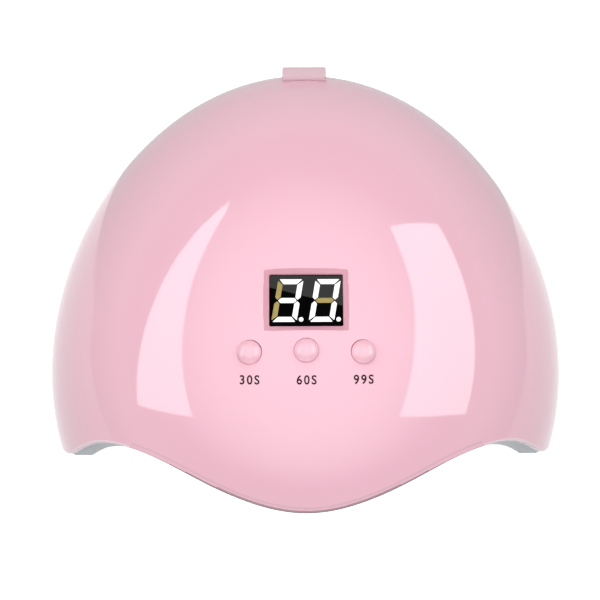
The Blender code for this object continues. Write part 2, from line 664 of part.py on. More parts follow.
def build_leds():
    """LED beads that look through the bowl's holes, and the strips that carry them."""
    lens_top = BOWL_WALL + LED_LENS_RISE
    shoulder = (0.6 * LED_RADIUS, BOWL_WALL + 0.75 * LED_LENS_RISE)
    bead = [(0, lens_top), shoulder, (LED_RADIUS, BOWL_WALL), (LED_RADIUS, -LED_BACK), (0, -LED_BACK)]
    for i, place in enumerate(led_places()):
        turned(f"led_{i + 1:02d}", bead, "led_lens", place, COARSE)
    surface = BOWL.grown(STRIP_GAP)
    for name, (latitude, first, last, _) in zip(("lower", "upper"), LED_RINGS):
        low_lon, span = first - STRIP_END, last - first + 2 * STRIP_END

        def strip_point(u, v, latitude=latitude, low_lon=low_lon, span=span):
            return unit_point(low_lon + span * u, latitude + STRIP_HALF_LATITUDE * (2 * v - 1))

        patch(f"led_strip_{name}", surface, strip_point, 32, 2, STRIP_THICKNESS, "strip_white")

    def top_point(u, v):
        x, y = TOP_STRIP_HALF * (2 * u - 1), TOP_STRIP_HALF * (2 * v - 1)
        return (x, y, math.sqrt(1 - x * x - y * y))

    patch("led_strip_top", surface, top_point, 6, 6, STRIP_THICKNESS, "strip_white")


def build_jack():
    """Rear power socket: a body inside the shell, a nose in the rib's hole and the centre pin."""
    face = DOME_Y + RIB_FACE - CLEARANCE
    place = Matrix.Translation((0, face, JACK_HEIGHT)) @ Matrix.Rotation(-math.pi / 2, 4, "X")
    rear = -JACK_BODY_REAR
    body = bmesh.new()
    width, length, height = JACK_BODY
    block = Matrix.Translation((0, 0, rear + length / 2)) @ Matrix.Diagonal((width, height, length, 1))
    bmesh.ops.create_cube(body, size=1, matrix=block)
    jack = add_object("dc_jack", mesh_from("dc_jack", body), "black_plastic", place)
    nose = drills("jack_nose", [place], JACK_NOSE_RADIUS, rear + length / 2, 0, FINE)
    boolean(jack, nose, "UNION")
    bore_low = rear + JACK_BACK_WALL
    boolean(jack, drills("jack_bore", [place], JACK_BORE_RADIUS, bore_low, OVERSHOOT, FINE))
    pin_low = bore_low + CLEARANCE
    pin = [(0, -JACK_PIN_DEPTH), (0.6 * JACK_PIN_RADIUS, -1.15 * JACK_PIN_DEPTH),
           (JACK_PIN_RADIUS, -1.5 * JACK_PIN_DEPTH), (JACK_PIN_RADIUS, pin_low), (0, pin_low)]
    turned("dc_jack_pin", pin, "steel", place, MEDIUM)


def wire(name, points, finish):
    """A round wire with closed ends through the points."""
    curve = bpy.data.curves.new(name, "CURVE")
    curve.dimensions = "3D"
    curve.bevel_depth = WIRE_RADIUS
    curve.bevel_resolution = 2
    curve.use_fill_caps = True
    spline = curve.splines.new("POLY")
    spline.points.add(len(points) - 1)
    for target, point in zip(spline.points, points):
        target.co = (*point, 1)
    curve.materials.append(material(finish))
    PARTS.objects.link(bpy.data.objects.new(name, curve))


def build_wires():
    """Power wires up the back to the board, and LED wires from the board's sides to the lower strip."""
    high, low = POWER_WIRE_LATITUDES
    for name, side, finish in (("positive", 1, "wire_red"), ("negative", -1, "wire_black")):
        across = side * POWER_WIRE_OFFSET
        points = [PANEL @ Vector((across, *POWER_WIRE_START))]
        for i in range(POWER_WIRE_STEPS + 1):
            _, y, z = unit_point(90, high + (low - high) * i / POWER_WIRE_STEPS)
            points.append(WIRE_WAY.place((across / WIRE_WAY.half_width, y, z)))
        wire(f"power_wire_{name}", points, finish)
    high, low = LED_WIRE_LATITUDES
    front, back = LED_WIRE_LONGITUDES
    out = BOARD_SIZE[0] / 2 + WIRE_RADIUS + CLEARANCE
    for name, side in (("left", -1), ("right", 1)):
        points = [PANEL @ Vector((side * out, LED_WIRE_BACK, BOARD_TOP - BOARD_THICKNESS / 2))]
        for i in range(LED_WIRE_STEPS + 1):
            share = i / LED_WIRE_STEPS
            x, y, z = unit_point(front + (back - front) * share, high + (low - high) * share)
            points.append(WIRE_WAY.place((side * x, y, z)))
        wire(f"led_wire_{name}", points, "wire_white")


def build_fasteners():
    """Screws that hold the liner to the shell from below, and the rubber feet."""
    edge = 0.0003
    head_top = HEAD_RECESS - CLEARANCE
    head_low = head_top - SCREW_HEAD_HEIGHT
    screw = [(0, SCREW_TIP), (SHANK_RADIUS, SCREW_TIP - 2 * edge), (SHANK_RADIUS, head_top),
             (SCREW_HEAD_RADIUS, head_top), (SCREW_HEAD_RADIUS, head_low + edge),
             (SCREW_HEAD_RADIUS - edge, head_low), (0, head_low)]
    for i, angle in enumerate(SCREW_ANGLES):
        turned(f"case_screw_{i + 1}", screw, "steel", rim_place(OUTER.grown(-SCREW_INSET), angle), MEDIUM)
    foot = [(0, FOOT_HEIGHT), (FOOT_RADIUS, FOOT_HEIGHT), (FOOT_RADIUS, edge),
            (FOOT_RADIUS - edge, 0), (0, 0)]
    for i, angle in enumerate(FOOT_ANGLES):
        turned(f"foot_{i + 1}", foot, "rubber_grey", rim_place(OUTER.grown(-FOOT_INSET), angle))


build_shell()
build_liner()
build_display()
build_board()
build_buttons()
build_leds()
build_jack()
build_wires()
build_fasteners()
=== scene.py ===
"""Looks of the UV LED nail lamp: shell, reflector, display, buttons and lights round the CAD frame."""
import json
from math import asin, atan2, cos, pi, radians, sin, tan, tau

import bmesh
import bpy
import numpy as np
from mathutils import Matrix, Vector


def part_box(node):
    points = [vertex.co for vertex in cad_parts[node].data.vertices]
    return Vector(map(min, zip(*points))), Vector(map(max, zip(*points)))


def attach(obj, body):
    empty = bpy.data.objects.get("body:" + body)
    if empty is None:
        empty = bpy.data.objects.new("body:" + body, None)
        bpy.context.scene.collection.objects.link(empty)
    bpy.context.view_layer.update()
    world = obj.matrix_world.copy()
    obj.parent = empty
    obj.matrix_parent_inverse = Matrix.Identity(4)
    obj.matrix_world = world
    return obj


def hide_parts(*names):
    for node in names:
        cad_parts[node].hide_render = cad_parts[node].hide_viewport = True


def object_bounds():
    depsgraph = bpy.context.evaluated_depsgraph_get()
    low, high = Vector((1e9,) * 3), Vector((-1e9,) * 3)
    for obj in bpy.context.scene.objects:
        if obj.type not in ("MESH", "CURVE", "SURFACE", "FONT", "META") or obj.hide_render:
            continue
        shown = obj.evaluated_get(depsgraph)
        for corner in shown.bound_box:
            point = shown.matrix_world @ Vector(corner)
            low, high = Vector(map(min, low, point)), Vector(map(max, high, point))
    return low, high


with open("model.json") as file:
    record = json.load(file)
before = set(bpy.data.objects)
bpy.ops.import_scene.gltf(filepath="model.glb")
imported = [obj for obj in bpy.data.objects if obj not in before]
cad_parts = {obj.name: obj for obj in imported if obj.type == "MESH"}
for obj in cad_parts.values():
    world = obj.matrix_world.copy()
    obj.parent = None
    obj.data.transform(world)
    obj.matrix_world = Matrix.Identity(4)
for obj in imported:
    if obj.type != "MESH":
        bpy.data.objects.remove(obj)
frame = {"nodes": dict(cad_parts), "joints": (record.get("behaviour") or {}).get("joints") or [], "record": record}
CAD_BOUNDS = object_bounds()
SLOTS = {entry["node"]: entry["material_slot"] for entry in frame["record"]["subparts"]}
PRESS = next(joint for joint in frame["joints"] if joint["name"] == "middle_button_press")
PRESS_AXIS = Vector(PRESS["axis"]).normalized()


def box(node):
    """Low and high corner of a CAD piece."""
    low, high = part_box(node)
    return Vector(low), Vector(high)


# ---- sizes, in metres, as in the frame
SHELL_LOW, SHELL_HIGH = box("outer_shell")
LINER_LOW, LINER_HIGH = box("inner_liner")
CORNERS = range(1, 5)  # the four feet and the four case screws
LED_COUNT = 18

# Dome: its half depth is taken before the skew, which makes the back longer than the front.
BASE_Z = LINER_LOW.z
HALF_WIDTH = (SHELL_HIGH.x - SHELL_LOW.x) / 2
HALF_DEPTH = 0.096
SKEW = 0.0105
DOME_HEIGHT = SHELL_HIGH.z - BASE_Z
WALL = 0.0022
VISOR_ROUNDING = 0.0005  # how far the rounded rim stands out at the visor's tip
VISOR_ROUNDING_WIDTH = 0.045

# Rear rib: depths are measured back from the dome's widest place, heights from the table.
RIB_HALF = 0.0074
RIB_FACE = 0.1073
RIB_FACE_TOP = 0.0145
RIB_TOP = 0.0457
RIB_TOP_FRONT = 0.0888
RIB_TOP_DEPTH = 0.0037
RIB_LOW = 0.004
RIB_ROUNDING = 0.0005
DOME_Y = SHELL_HIGH.y - RIB_FACE

# Arches: superellipses with soft dips, each as (depth, place, width).
ARCH = {"height": 0.05095, "half_width": 0.0826, "powers": (7.42, 1.18),
        "dips": ((0.00263, 0.0, 0.0228), (0.00316, 0.0627, 0.0156))}
MOUTH = {"height": 0.0435, "half_width": 0.0715, "powers": (6.2, 1.1), "dips": ()}

# Reflector bowl, its tunnel to the mouth and its lip.
BOWL_INSET = (0.010, 0.0115)  # from the dome's half width and half depth
BOWL_WALL = 0.002
MOUTH_BLEND = 0.0025
LINER_GAP = 0.0004
LIP_SETBACK = 0.005
LIP_THICKNESS = 0.0024
LIP_ROUNDING = 0.0011
LEG_FRONT = 0.0313
LEG_SLOPE = 0.7
FLANGE_TOP = 0.0036

# Screw bosses under the shell, and posts of the control board, whose heights are in the panel frame.
BOSS_RADIUS, BOSS_TOP = 0.0031, 0.0143
BOSS_HOLE_RADIUS, BOSS_HOLE_TOP = 0.0014, 0.013
POST_RADIUS, POST_LOW = 0.003, -0.0127
POST_HOLE_RADIUS, POST_HOLE_LOW, POST_HOLE_HIGH = 0.0011, -0.014, -0.0075

# Display window: half sizes at the dome, over the display and of the pocket behind.
PANEL_FORWARD = 0.0111
WINDOW_MOUTH = (0.01315, 0.0101)
WINDOW_FACE = (0.01145, 0.0085)
POCKET_HALF = (0.01285, 0.00985)
WINDOW_CORNER = 0.0006
WINDOW_DEPTH = 0.00135
WINDOW_SOFT_EDGE = 0.0003
POCKET_DEPTH = 0.0019

# Display, in the panel frame.
DISPLAY_SIZE = (0.025, 0.019, 0.008)
DISPLAY_TOP = -POCKET_DEPTH - 0.0003
DIGIT_WIDE, DIGIT_HIGH = 0.00785, 0.0140
DIGIT_OFFSET = 0.0058
DIGIT_SLANT = tan(radians(9.2))
SEGMENT_THICK = 0.00162
SEGMENT_GAP = 0.00022
DOT_RADIUS = 0.00072

# Buttons and their labels; heights are above the dome at each button.
BUTTONS_FORWARD = 0.0275
BUTTON_HOLE_RADIUS = 0.0039
BUTTON_RADIUS = 0.0038
BUTTON_RISE = 0.0027
BUTTON_SHOULDER = 0.0005
SKIRT_RADIUS = 0.00386
CAP_FLANGE_RADIUS, CAP_FLANGE_HIGH, CAP_FLANGE_LOW = 0.0048, -0.0038, -0.0046
STEM_RADIUS, STEM_LOW = 0.0015, -0.0048
LABEL_BACK = -0.0256
LABEL_LEVEL = 0.345  # keeps the three labels on one line where the dome falls away
CAPITAL_HEIGHT = 0.00262

# Power socket and LED lens.
SOCKET_HOLE_RADIUS = 0.0043
SOCKET_BORE = 0.0031
SOCKET_BLOCK = (0.009, 0.0086, 0.0049)
PIN_RADIUS = 0.001
LENS_RADIUS = 0.00165

ON_AXIS = 1e-7  # radii below this are taken as the axis


# ---- shape formulas
def stack(*parts):
    """Points or vectors from their parts, which are numbers or arrays."""
    return np.stack(np.broadcast_arrays(*parts), -1)


def arch_z(x, shape, grow=0.0):
    """Height of an arch above the table; numpy arrays welcome."""
    across_power, side_power = shape["powers"]
    side = np.clip(1 - (np.abs(x) / (shape["half_width"] + grow)) ** across_power, 0, None)
    arch = (shape["height"] + grow) * side ** side_power
    for depth, place, width in shape["dips"]:
        arch = arch - depth * np.exp(-((np.abs(x) - place) / width) ** 2)
    return arch


class Egg:
    """Half a unit sphere stretched to its half axes, with y bent by SKEW so that the back is longer."""

    def __init__(self, half_width, half_depth, height):
        self.axes = np.array([half_width, half_depth, height])

    def grown(self, amount):
        return Egg(*(self.axes + amount))

    def place(self, unit):
        point = np.asarray(unit) * self.axes
        point[..., 1] += SKEW * np.asarray(unit)[..., 1] ** 2 + DOME_Y
        point[..., 2] += BASE_Z
        return point

    def unit(self, point):
        """Unit-sphere coordinates of any point; their length is 1 on the surface."""
        point = np.asarray(point, float)
        root = np.sqrt(self.axes[1] ** 2 + 4 * SKEW * (point[..., 1] - DOME_Y))
        eta = (root - self.axes[1]) / (2 * SKEW)
        return stack(point[..., 0] / self.axes[0], eta, (point[..., 2] - BASE_Z) / self.axes[2])

    def normal(self, unit):
        unit = np.asarray(unit)
        slope = stack(unit[..., 0] / self.axes[0], unit[..., 1] / (self.axes[1] + 2 * SKEW * unit[..., 1]),
                      unit[..., 2] / self.axes[2])
        return slope / np.linalg.norm(slope, axis=-1, keepdims=True)

    def side_y(self, x, z, side):
        rest = 1 - (x / self.axes[0]) ** 2 - ((z - BASE_Z) / self.axes[2]) ** 2
        eta = side * np.sqrt(np.clip(rest, 0, None))
        return DOME_Y + self.axes[1] * eta + SKEW * eta ** 2

    def top_z(self, x, y):
        unit = self.unit(stack(x, y, BASE_Z))
        return BASE_Z + self.axes[2] * np.sqrt(np.clip(1 - unit[..., 0] ** 2 - unit[..., 1] ** 2, 0, None))


OUTER = Egg(HALF_WIDTH, HALF_DEPTH, DOME_HEIGHT)
ENVELOPE = OUTER.grown(-WALL - LINER_GAP)
BOWL = Egg(HALF_WIDTH - BOWL_INSET[0], HALF_DEPTH - BOWL_INSET[1], LINER_HIGH.z - BASE_Z)
BOWL_CENTRE = np.array([0, DOME_Y, BASE_Z])
PANEL_TILT = asin(abs(PRESS_AXIS.y))
PANEL_POINT = Vector((0, DOME_Y - PANEL_FORWARD, float(OUTER.top_z(0.0, DOME_Y - PANEL_FORWARD))))
PANEL = Matrix.Translation(PANEL_POINT) @ Matrix.Rotation(PANEL_TILT, 4, "X")
PANEL_ARRAY = np.array(PANEL)


def unit_rows(vectors):
    return vectors / np.linalg.norm(vectors, axis=-1, keepdims=True)


def slerp(first, last, share):
    """Points on the great circle between two unit vectors, for an array of columns."""
    angle = np.arccos(np.clip((first * last).sum(-1, keepdims=True), -1, 1))
    return (np.sin((1 - share) * angle) * first + np.sin(share * angle) * last) / np.sin(angle)


def to_panel(points):
    return (points - PANEL_ARRAY[:3, 3]) @ PANEL_ARRAY[:3, :3]


def from_panel(across, back, height):
    return stack(across, back, height) @ PANEL_ARRAY[:3, :3].T + PANEL_ARRAY[:3, 3]


def panel_surface(across, back, egg=OUTER):
    """Height of an egg's surface above the panel frame."""
    height = np.zeros(np.broadcast(across, back).shape)
    for _ in range(14):
        point = from_panel(across, back, height)
        height = height + (egg.top_z(point[..., 0], point[..., 1]) - point[..., 2]) / cos(PANEL_TILT)
    return height


def last_inside(inside, low, high):
    """Last value between low and high that passes a test, found for all columns at once by halving."""
    for _ in range(44):
        middle = (low + high) / 2
        within = inside(middle)
        low, high = np.where(within, middle, low), np.where(within, high, middle)
    return low


def bezier(first, middle, last, count):
    """Rows strictly between first and last that round the corner at middle."""
    rows = []
    for i in range(1, count + 1):
        t = i / (count + 1)
        rows.append((1 - t) ** 2 * first + 2 * t * (1 - t) * middle + t * t * last)
    return rows


def smooth_loop(points, passes):
    """Rounds the corners of a closed polyline."""
    for _ in range(passes):
        points = 0.5 * points + 0.25 * (np.roll(points, 1, 0) + np.roll(points, -1, 0))
    return points


def resample_loop(points, count):
    closed = np.vstack([points, points[:1]])
    length = np.concatenate([[0], np.cumsum(np.linalg.norm(np.diff(closed, axis=0), axis=1))])
    wanted = np.linspace(0, length[-1], count, endpoint=False)
    return np.stack([np.interp(wanted, length, closed[:, axis]) for axis in range(3)], -1)


def upright_place(node):
    """Frame on the table under the middle of a CAD piece."""
    low, high = box(node)
    return Matrix.Translation(((low.x + high.x) / 2, (low.y + high.y) / 2, 0))


def panel_middle(node):
    """Middle of a CAD piece's box in the panel frame."""
    low, high = box(node)
    return to_panel(np.array((low + high) / 2))


# ---- mesh helpers
def add_object(name, data):
    made = bpy.data.objects.new(name, data)
    bpy.context.scene.collection.objects.link(made)
    return made


def mesh_object(name, vertices, faces):
    mesh = bpy.data.meshes.new(name)
    mesh.from_pydata([tuple(map(float, v)) for v in vertices], [], faces)
    mesh.validate()
    return add_object(name, mesh)


def bm_object(name, bm):
    mesh = bpy.data.meshes.new(name)
    bm.to_mesh(mesh)
    bm.free()
    return add_object(name, mesh)


def loop_faces(rows, columns, close_rows):
    """Quads of a grid that is closed round its columns, and round its rows too if close_rows."""
    faces = []
    for i in range(rows if close_rows else rows - 1):
        low, high = i * columns, ((i + 1) % rows) * columns
        for k in range(columns):
            after = (k + 1) % columns
            faces.append((low + k, low + after, high + after, high + k))
    return faces


def face_outwards(made):
    bm = bmesh.new()
    bm.from_mesh(made.data)
    bmesh.ops.recalc_face_normals(bm, faces=bm.faces)
    if bm.calc_volume(signed=True) < 0:
        bmesh.ops.reverse_faces(bm, faces=bm.faces)
    bm.to_mesh(made.data)
    bm.free()


def turned(name, profile, place, steps=64):
    """Turns (radius, height) points about Z; the ends on the axis are closed."""
    bm = bmesh.new()
    angles = [tau * i / steps for i in range(steps)]
    rings = []
    for radius, height in profile:
        if radius < ON_AXIS:
            rings.append([bm.verts.new((0, 0, height))])
        else:
            rings.append([bm.verts.new((radius * cos(a), radius * sin(a), height)) for a in angles])
    for low, high in zip(rings, rings[1:]):
        for i in range(steps):
            j = (i + 1) % steps
            corner = [low[i % len(low)], low[j % len(low)], high[j % len(high)], high[i % len(high)]]
            bm.faces.new(list(dict.fromkeys(corner)))
    bmesh.ops.recalc_face_normals(bm, faces=bm.faces)
    bmesh.ops.transform(bm, matrix=place, verts=bm.verts)
    return bm_object(name, bm)


def quarter_arc(radius, height, out, up, steps):
    """Profile points of a quarter ellipse round (radius, height), from its side to its end."""
    angles = [pi / 2 * k / steps for k in range(steps + 1)]
    return [(radius + out * cos(a), height + up * sin(a)) for a in angles]


def extrude(bm, outline, vector):
    """Adds the prism that a flat outline sweeps along a vector."""
    face = bm.faces.new([bm.verts.new(point) for point in outline])
    swept = bmesh.ops.extrude_face_region(bm, geom=[face])["geom"]
    moved = [item for item in swept if isinstance(item, bmesh.types.BMVert)]
    bmesh.ops.translate(bm, verts=moved, vec=vector)


def rounded_block(name, size, place, rounding, segments):
    bm = bmesh.new()
    bmesh.ops.create_cube(bm, size=1, matrix=Matrix.Diagonal((*size, 1)))
    bmesh.ops.bevel(bm, geom=list(bm.edges), offset=rounding, segments=segments, profile=0.5, affect="EDGES")
    bmesh.ops.transform(bm, matrix=place, verts=bm.verts)
    return bm_object(name, bm)


def cylinder(bm, place, radius, low, high, steps):
    middle = place @ Matrix.Translation((0, 0, (low + high) / 2))
    bmesh.ops.create_cone(bm, cap_ends=True, segments=steps, radius1=radius, radius2=radius,
                          depth=high - low, matrix=middle)


def apply_booleans(made, tools):
    """Cuts or joins each (tool, operation), then keeps the result as plain mesh."""
    for tool, operation in tools:
        modifier = made.modifiers.new(tool.name, "BOOLEAN")
        modifier.object = tool
        modifier.operation = operation
        modifier.solver = "EXACT"
    bpy.context.view_layer.update()
    result = bpy.data.meshes.new_from_object(made.evaluated_get(bpy.context.evaluated_depsgraph_get()))
    made.modifiers.clear()
    made.data = result
    for tool, _ in tools:
        bpy.data.objects.remove(tool)


def read_all(items, attribute, width=1, kind=np.float32):
    """One attribute of all of a mesh's items, as one row of width values each."""
    values = np.zeros(len(items) * width, kind)
    items.foreach_get(attribute, values)
    return values.reshape(-1, width) if width > 1 else values


def shade_round(made, angle=32):
    made.data.shade_smooth()
    made.data.set_sharp_from_angle(angle=radians(angle))


def follow_surface_normals(made, egg, tolerance=3e-5, most_lean=0.95):
    """Gives corners that lie on an egg's surface the exact normal of that surface."""
    mesh = made.data
    normals = read_all(mesh.corner_normals, "vector", 3)
    unit = egg.unit(read_all(mesh.vertices, "co", 3))
    on_surface = np.abs(np.linalg.norm(unit, axis=1) - 1) < tolerance / egg.axes[2]
    corner_vertex = read_all(mesh.loops, "vertex_index", 1, np.int32)
    exact = egg.normal(unit)[corner_vertex]
    sizes = read_all(mesh.polygons, "loop_total", 1, np.int32)
    face_of_corner = np.repeat(np.arange(len(sizes)), sizes)
    along = (exact * read_all(mesh.polygons, "normal", 3)[face_of_corner]).sum(1)
    chosen = on_surface[corner_vertex] & (along > most_lean)
    normals[chosen] = exact[chosen]
    mesh.normals_split_custom_set(normals.tolist())


# ---- materials
def node_material(name):
    made = bpy.data.materials.new(name)
    made.use_nodes = True
    tree = made.node_tree
    return made, tree, tree.nodes["Principled BSDF"]


def link(tree, source, target):
    tree.links.new(source, target)


def set_sockets(node, **values):
    """Sets constant sockets; underscores stand for spaces."""
    for name, value in values.items():
        node.inputs[name.replace("_", " ")].default_value = value


def placed_node(tree, kind, space="Object"):
    """A node that takes the texture coordinates of a space."""
    coords = tree.nodes.new("ShaderNodeTexCoord")
    node = tree.nodes.new(kind)
    link(tree, coords.outputs[space], node.inputs["Vector"])
    return node


def noise(tree, scale, detail=3.0, roughness=0.5):
    texture = placed_node(tree, "ShaderNodeTexNoise")
    set_sockets(texture, Scale=scale, Detail=detail, Roughness=roughness)
    return texture.outputs["Fac"]


def ramp(tree, value, low, high, low_at=0.3, high_at=0.7):
    """Colours or greys from low to high as a noise value rises."""
    node = tree.nodes.new("ShaderNodeValToRGB")
    node.color_ramp.elements[0].position = low_at
    node.color_ramp.elements[1].position = high_at
    for element, colour in zip(node.color_ramp.elements, (low, high)):
        element.color = (*colour, 1) if isinstance(colour, tuple) else (colour, colour, colour, 1)
    link(tree, value, node.inputs["Fac"])
    return node.outputs["Color"]


def bump(tree, shader, value, distance):
    node = tree.nodes.new("ShaderNodeBump")
    set_sockets(node, Distance=distance, Strength=1)
    link(tree, value, node.inputs["Height"])
    link(tree, node.outputs["Normal"], shader.inputs["Normal"])


def plastic(name, low, high, rough=(0.2, 0.3), grain=900, depth=2e-5, patch=25, **sockets):
    """Moulded plastic: colour drifts between low and high, with fine grain in gloss and surface."""
    made, tree, shader = node_material(name)
    link(tree, ramp(tree, noise(tree, patch, 2.0), low, high), shader.inputs["Base Color"])
    fine = noise(tree, grain, 4.0, 0.6)
    link(tree, ramp(tree, fine, rough[0], rough[1]), shader.inputs["Roughness"])
    bump(tree, shader, fine, depth)
    set_sockets(shader, **sockets)
    return made


def glow(name, strength, base):
    """White light from a surface that is grey when it is off."""
    made, tree, shader = node_material(name)
    drift = ramp(tree, noise(tree, 2500.0), tuple(c * 0.94 for c in base), base)
    link(tree, drift, shader.inputs["Base Color"])
    set_sockets(shader, Emission_Color=(1, 1, 1, 1), Emission_Strength=strength, Roughness=0.35)
    return made


def srgb(*screen):
    """Linear colour from 0 to 255 screen values."""
    shares = [value / 255 for value in screen]
    return tuple(s / 12.92 if s <= 0.04045 else ((s + 0.055) / 1.055) ** 2.4 for s in shares)


GLOSS = {"rough": (0.05, 0.08), "depth": 1.5e-6, "Coat_Weight": 0.35, "Coat_Roughness": 0.02, "IOR": 1.5}
PINK = plastic("pink_gloss_plastic", (0.868, 0.505, 0.605), (0.893, 0.52, 0.625),
               grain=420, patch=14, **GLOSS)
# Painted shade: a darker pink for a band just inside the visor's rim.
PINK_SHADE_BAND = plastic("pink_painted_shade_band", (0.76, 0.46, 0.54), (0.78, 0.475, 0.555), **GLOSS)
# Painted shade: a dark pink for the rounded rim's underside along the visor, where it turns away from the light.
PINK_SHADE_EDGE = plastic("pink_painted_shade_edge", (0.40, 0.26, 0.30), (0.42, 0.27, 0.31), (0.3, 0.4), depth=3e-6)
# Painted highlight: a light, paler pink line along the rounded edges of the legs.
PINK_HIGHLIGHT_LINE = plastic("pink_painted_highlight_line", (0.93, 0.74, 0.79), (0.95, 0.76, 0.81), (0.15, 0.2), depth=2e-6)
# Painted shade: a darker, duller pink for the sloped walls of the display's recess.
PINK_RECESS_SHADE = plastic("pink_recess_painted_shade", srgb(205, 146, 163), srgb(212, 153, 170), (0.3, 0.4),
                      depth=6e-6, patch=60)
# Painted shade: a darker pink for the rear rib, standing in for the dimmer light at the back.
PINK_RIB_SHADE = plastic("pink_rib_painted_shade", (0.61, 0.43, 0.475), (0.63, 0.445, 0.49), (0.35, 0.45),
                   depth=4e-6, patch=60)
# Painted shade: a greyer, duller pink for the rear rib's front wall.
PINK_STEP_SHADE = plastic("pink_rib_step_painted_shade", (0.73, 0.66, 0.685), (0.75, 0.675, 0.70), (0.5, 0.6), depth=3e-6)
PINK_CAP = plastic("pink_cap_plastic", (0.91, 0.525, 0.62), (0.93, 0.54, 0.64), (0.16, 0.22),
                   depth=6e-6, patch=60, Coat_Weight=0.2, Coat_Roughness=0.1)
LINER = plastic("silver_reflector_plastic", srgb(178, 183, 189), srgb(190, 194, 199), (0.3, 0.36),
                grain=300, depth=1e-6, patch=30, Metallic=0.3)
DISPLAY = plastic("display_black", srgb(4, 4, 5), srgb(9, 9, 10), (0.0, 0.008),
                  grain=600, depth=1e-7, patch=80, IOR=1.45)
SEGMENT_LIT = glow("segment_lit", 0.85, (0.35, 0.35, 0.35))
SEGMENT_OFF = plastic("segment_unlit", srgb(152, 134, 70), srgb(166, 148, 82), (0.3, 0.4),
                      grain=3000, patch=400)
LABEL_INK = plastic("label_ink", srgb(44, 24, 30), srgb(56, 34, 40), (0.75, 0.85),
                    grain=4000, patch=700, Specular_IOR_Level=0.15)
BLACK = plastic("black_plastic", (0.012, 0.012, 0.013), (0.022, 0.022, 0.024), (0.35, 0.5), grain=1400)
WHITE = plastic("white_plastic", (0.70, 0.70, 0.69), (0.80, 0.80, 0.79), (0.4, 0.55), grain=1400)
BOARD = plastic("board_green", (0.012, 0.12, 0.045), (0.02, 0.18, 0.07), (0.3, 0.45), grain=1200)
STEEL = plastic("plated_steel", (0.50, 0.50, 0.51), (0.62, 0.62, 0.63), (0.22, 0.36), grain=1500, Metallic=1)
RUBBER = plastic("foot_rubber", (0.035, 0.035, 0.037), (0.06, 0.06, 0.062), (0.7, 0.85),
                 grain=1800, depth=4e-5)
WIRE_RED = plastic("wire_red", (0.42, 0.015, 0.015), (0.55, 0.03, 0.03), (0.4, 0.5))
WIRE_BLACK = plastic("wire_black", (0.012, 0.012, 0.012), (0.03, 0.03, 0.03), (0.4, 0.5))
PHOSPHOR = plastic("led_phosphor", srgb(226, 196, 62), srgb(240, 214, 92), (0.5, 0.6), grain=5000, patch=900)
LENS = plastic("led_lens", (0.95, 0.95, 0.90), (0.97, 0.97, 0.94), (0.02, 0.05),
               depth=1e-6, Transmission_Weight=0.92, IOR=1.45)

# The shell's own pink, then its painted shade and painted highlight pinks, in slot order.
SHELL_PINKS_AND_PAINTED_LIGHT = (PINK, PINK_RECESS_SHADE, PINK_RIB_SHADE, PINK_SHADE_EDGE, PINK_SHADE_BAND, PINK_HIGHLIGHT_LINE, PINK_STEP_SHADE)
SLOT_FINISH = {
    "shell_pink": PINK, "button_pink": PINK_CAP, "liner_grey": LINER, "display_black": DISPLAY,
    "board_green": BOARD, "plastic_black": BLACK, "plastic_white": WHITE, "led_yellow": PHOSPHOR,
    "steel": STEEL, "rubber_grey": RUBBER, "wire_red": WIRE_RED, "wire_black": WIRE_BLACK,
    "wire_white": WHITE,
}


def finish_piece(made, body, material=None, node=None):
    """Gives a piece its material, attaches it to its body and hides the CAD node it replaces; without a material
    it keeps those it has.
    """
    if material:
        made.data.materials.clear()
        made.data.materials.append(material)
    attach(made, body)
    if node:
        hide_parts(node)


# ---- outer shell
SHELL_COLUMNS, DOME_ROWS, RIM_STEPS, INNER_ROWS = 600, 72, 12, 18
VISOR_HALF_WIDTH = 0.056  # inside it the rim gets painted shade as a visor, outside it a painted highlight along a leg's edge
HIGHLIGHT_LINE_ROWS = 3
SHADE_BAND_ROW = -3
# Rows and taper of the dark edge painted as shade on the visor's rim.
SHADE_EDGE_ROW, SHADE_EDGE_TAPER = -1.5, 7
SHADE_EDGE_SHARE = 0.62  # where an extra ring splits the dome's last row for the painted shade at the edge
PAINT_SLACK = 0.0001
RIB_PAINT_FROM = 0.085


def shell_edge():
    """Closed line along the front arch and the bottom rim, with rounded corners, in unit coordinates."""
    corner = ARCH["half_width"] * 0.9996
    x = -corner * np.cos(np.linspace(0, pi, 500))
    z = np.maximum(arch_z(x, ARCH), BASE_Z)
    arch = stack(x, OUTER.side_y(x, z, -1), z)
    corner_unit = OUTER.unit(arch[-1])
    start = atan2(corner_unit[1], corner_unit[0])
    angle = np.linspace(start, pi - start, 900)[1:-1]
    rim = OUTER.place(stack(np.cos(angle), np.sin(angle), 0.0))
    points = smooth_loop(resample_loop(np.vstack([arch, rim]), SHELL_COLUMNS), 7)
    return unit_rows(OUTER.unit(points))


def window_outline(angle, half, corner):
    """Where a ray from the panel's middle leaves a rounded rectangle."""
    across, back = np.cos(angle), np.sin(angle)

    def inside(reach):
        over_x = np.abs(across * reach) - (half[0] - corner)
        over_y = np.abs(back * reach) - (half[1] - corner)
        return np.hypot(np.clip(over_x, 0, None), np.clip(over_y, 0, None)) <= corner

    reach = last_inside(inside, np.zeros_like(angle), np.full_like(angle, half[0] + half[1]))
    return across * reach, back * reach


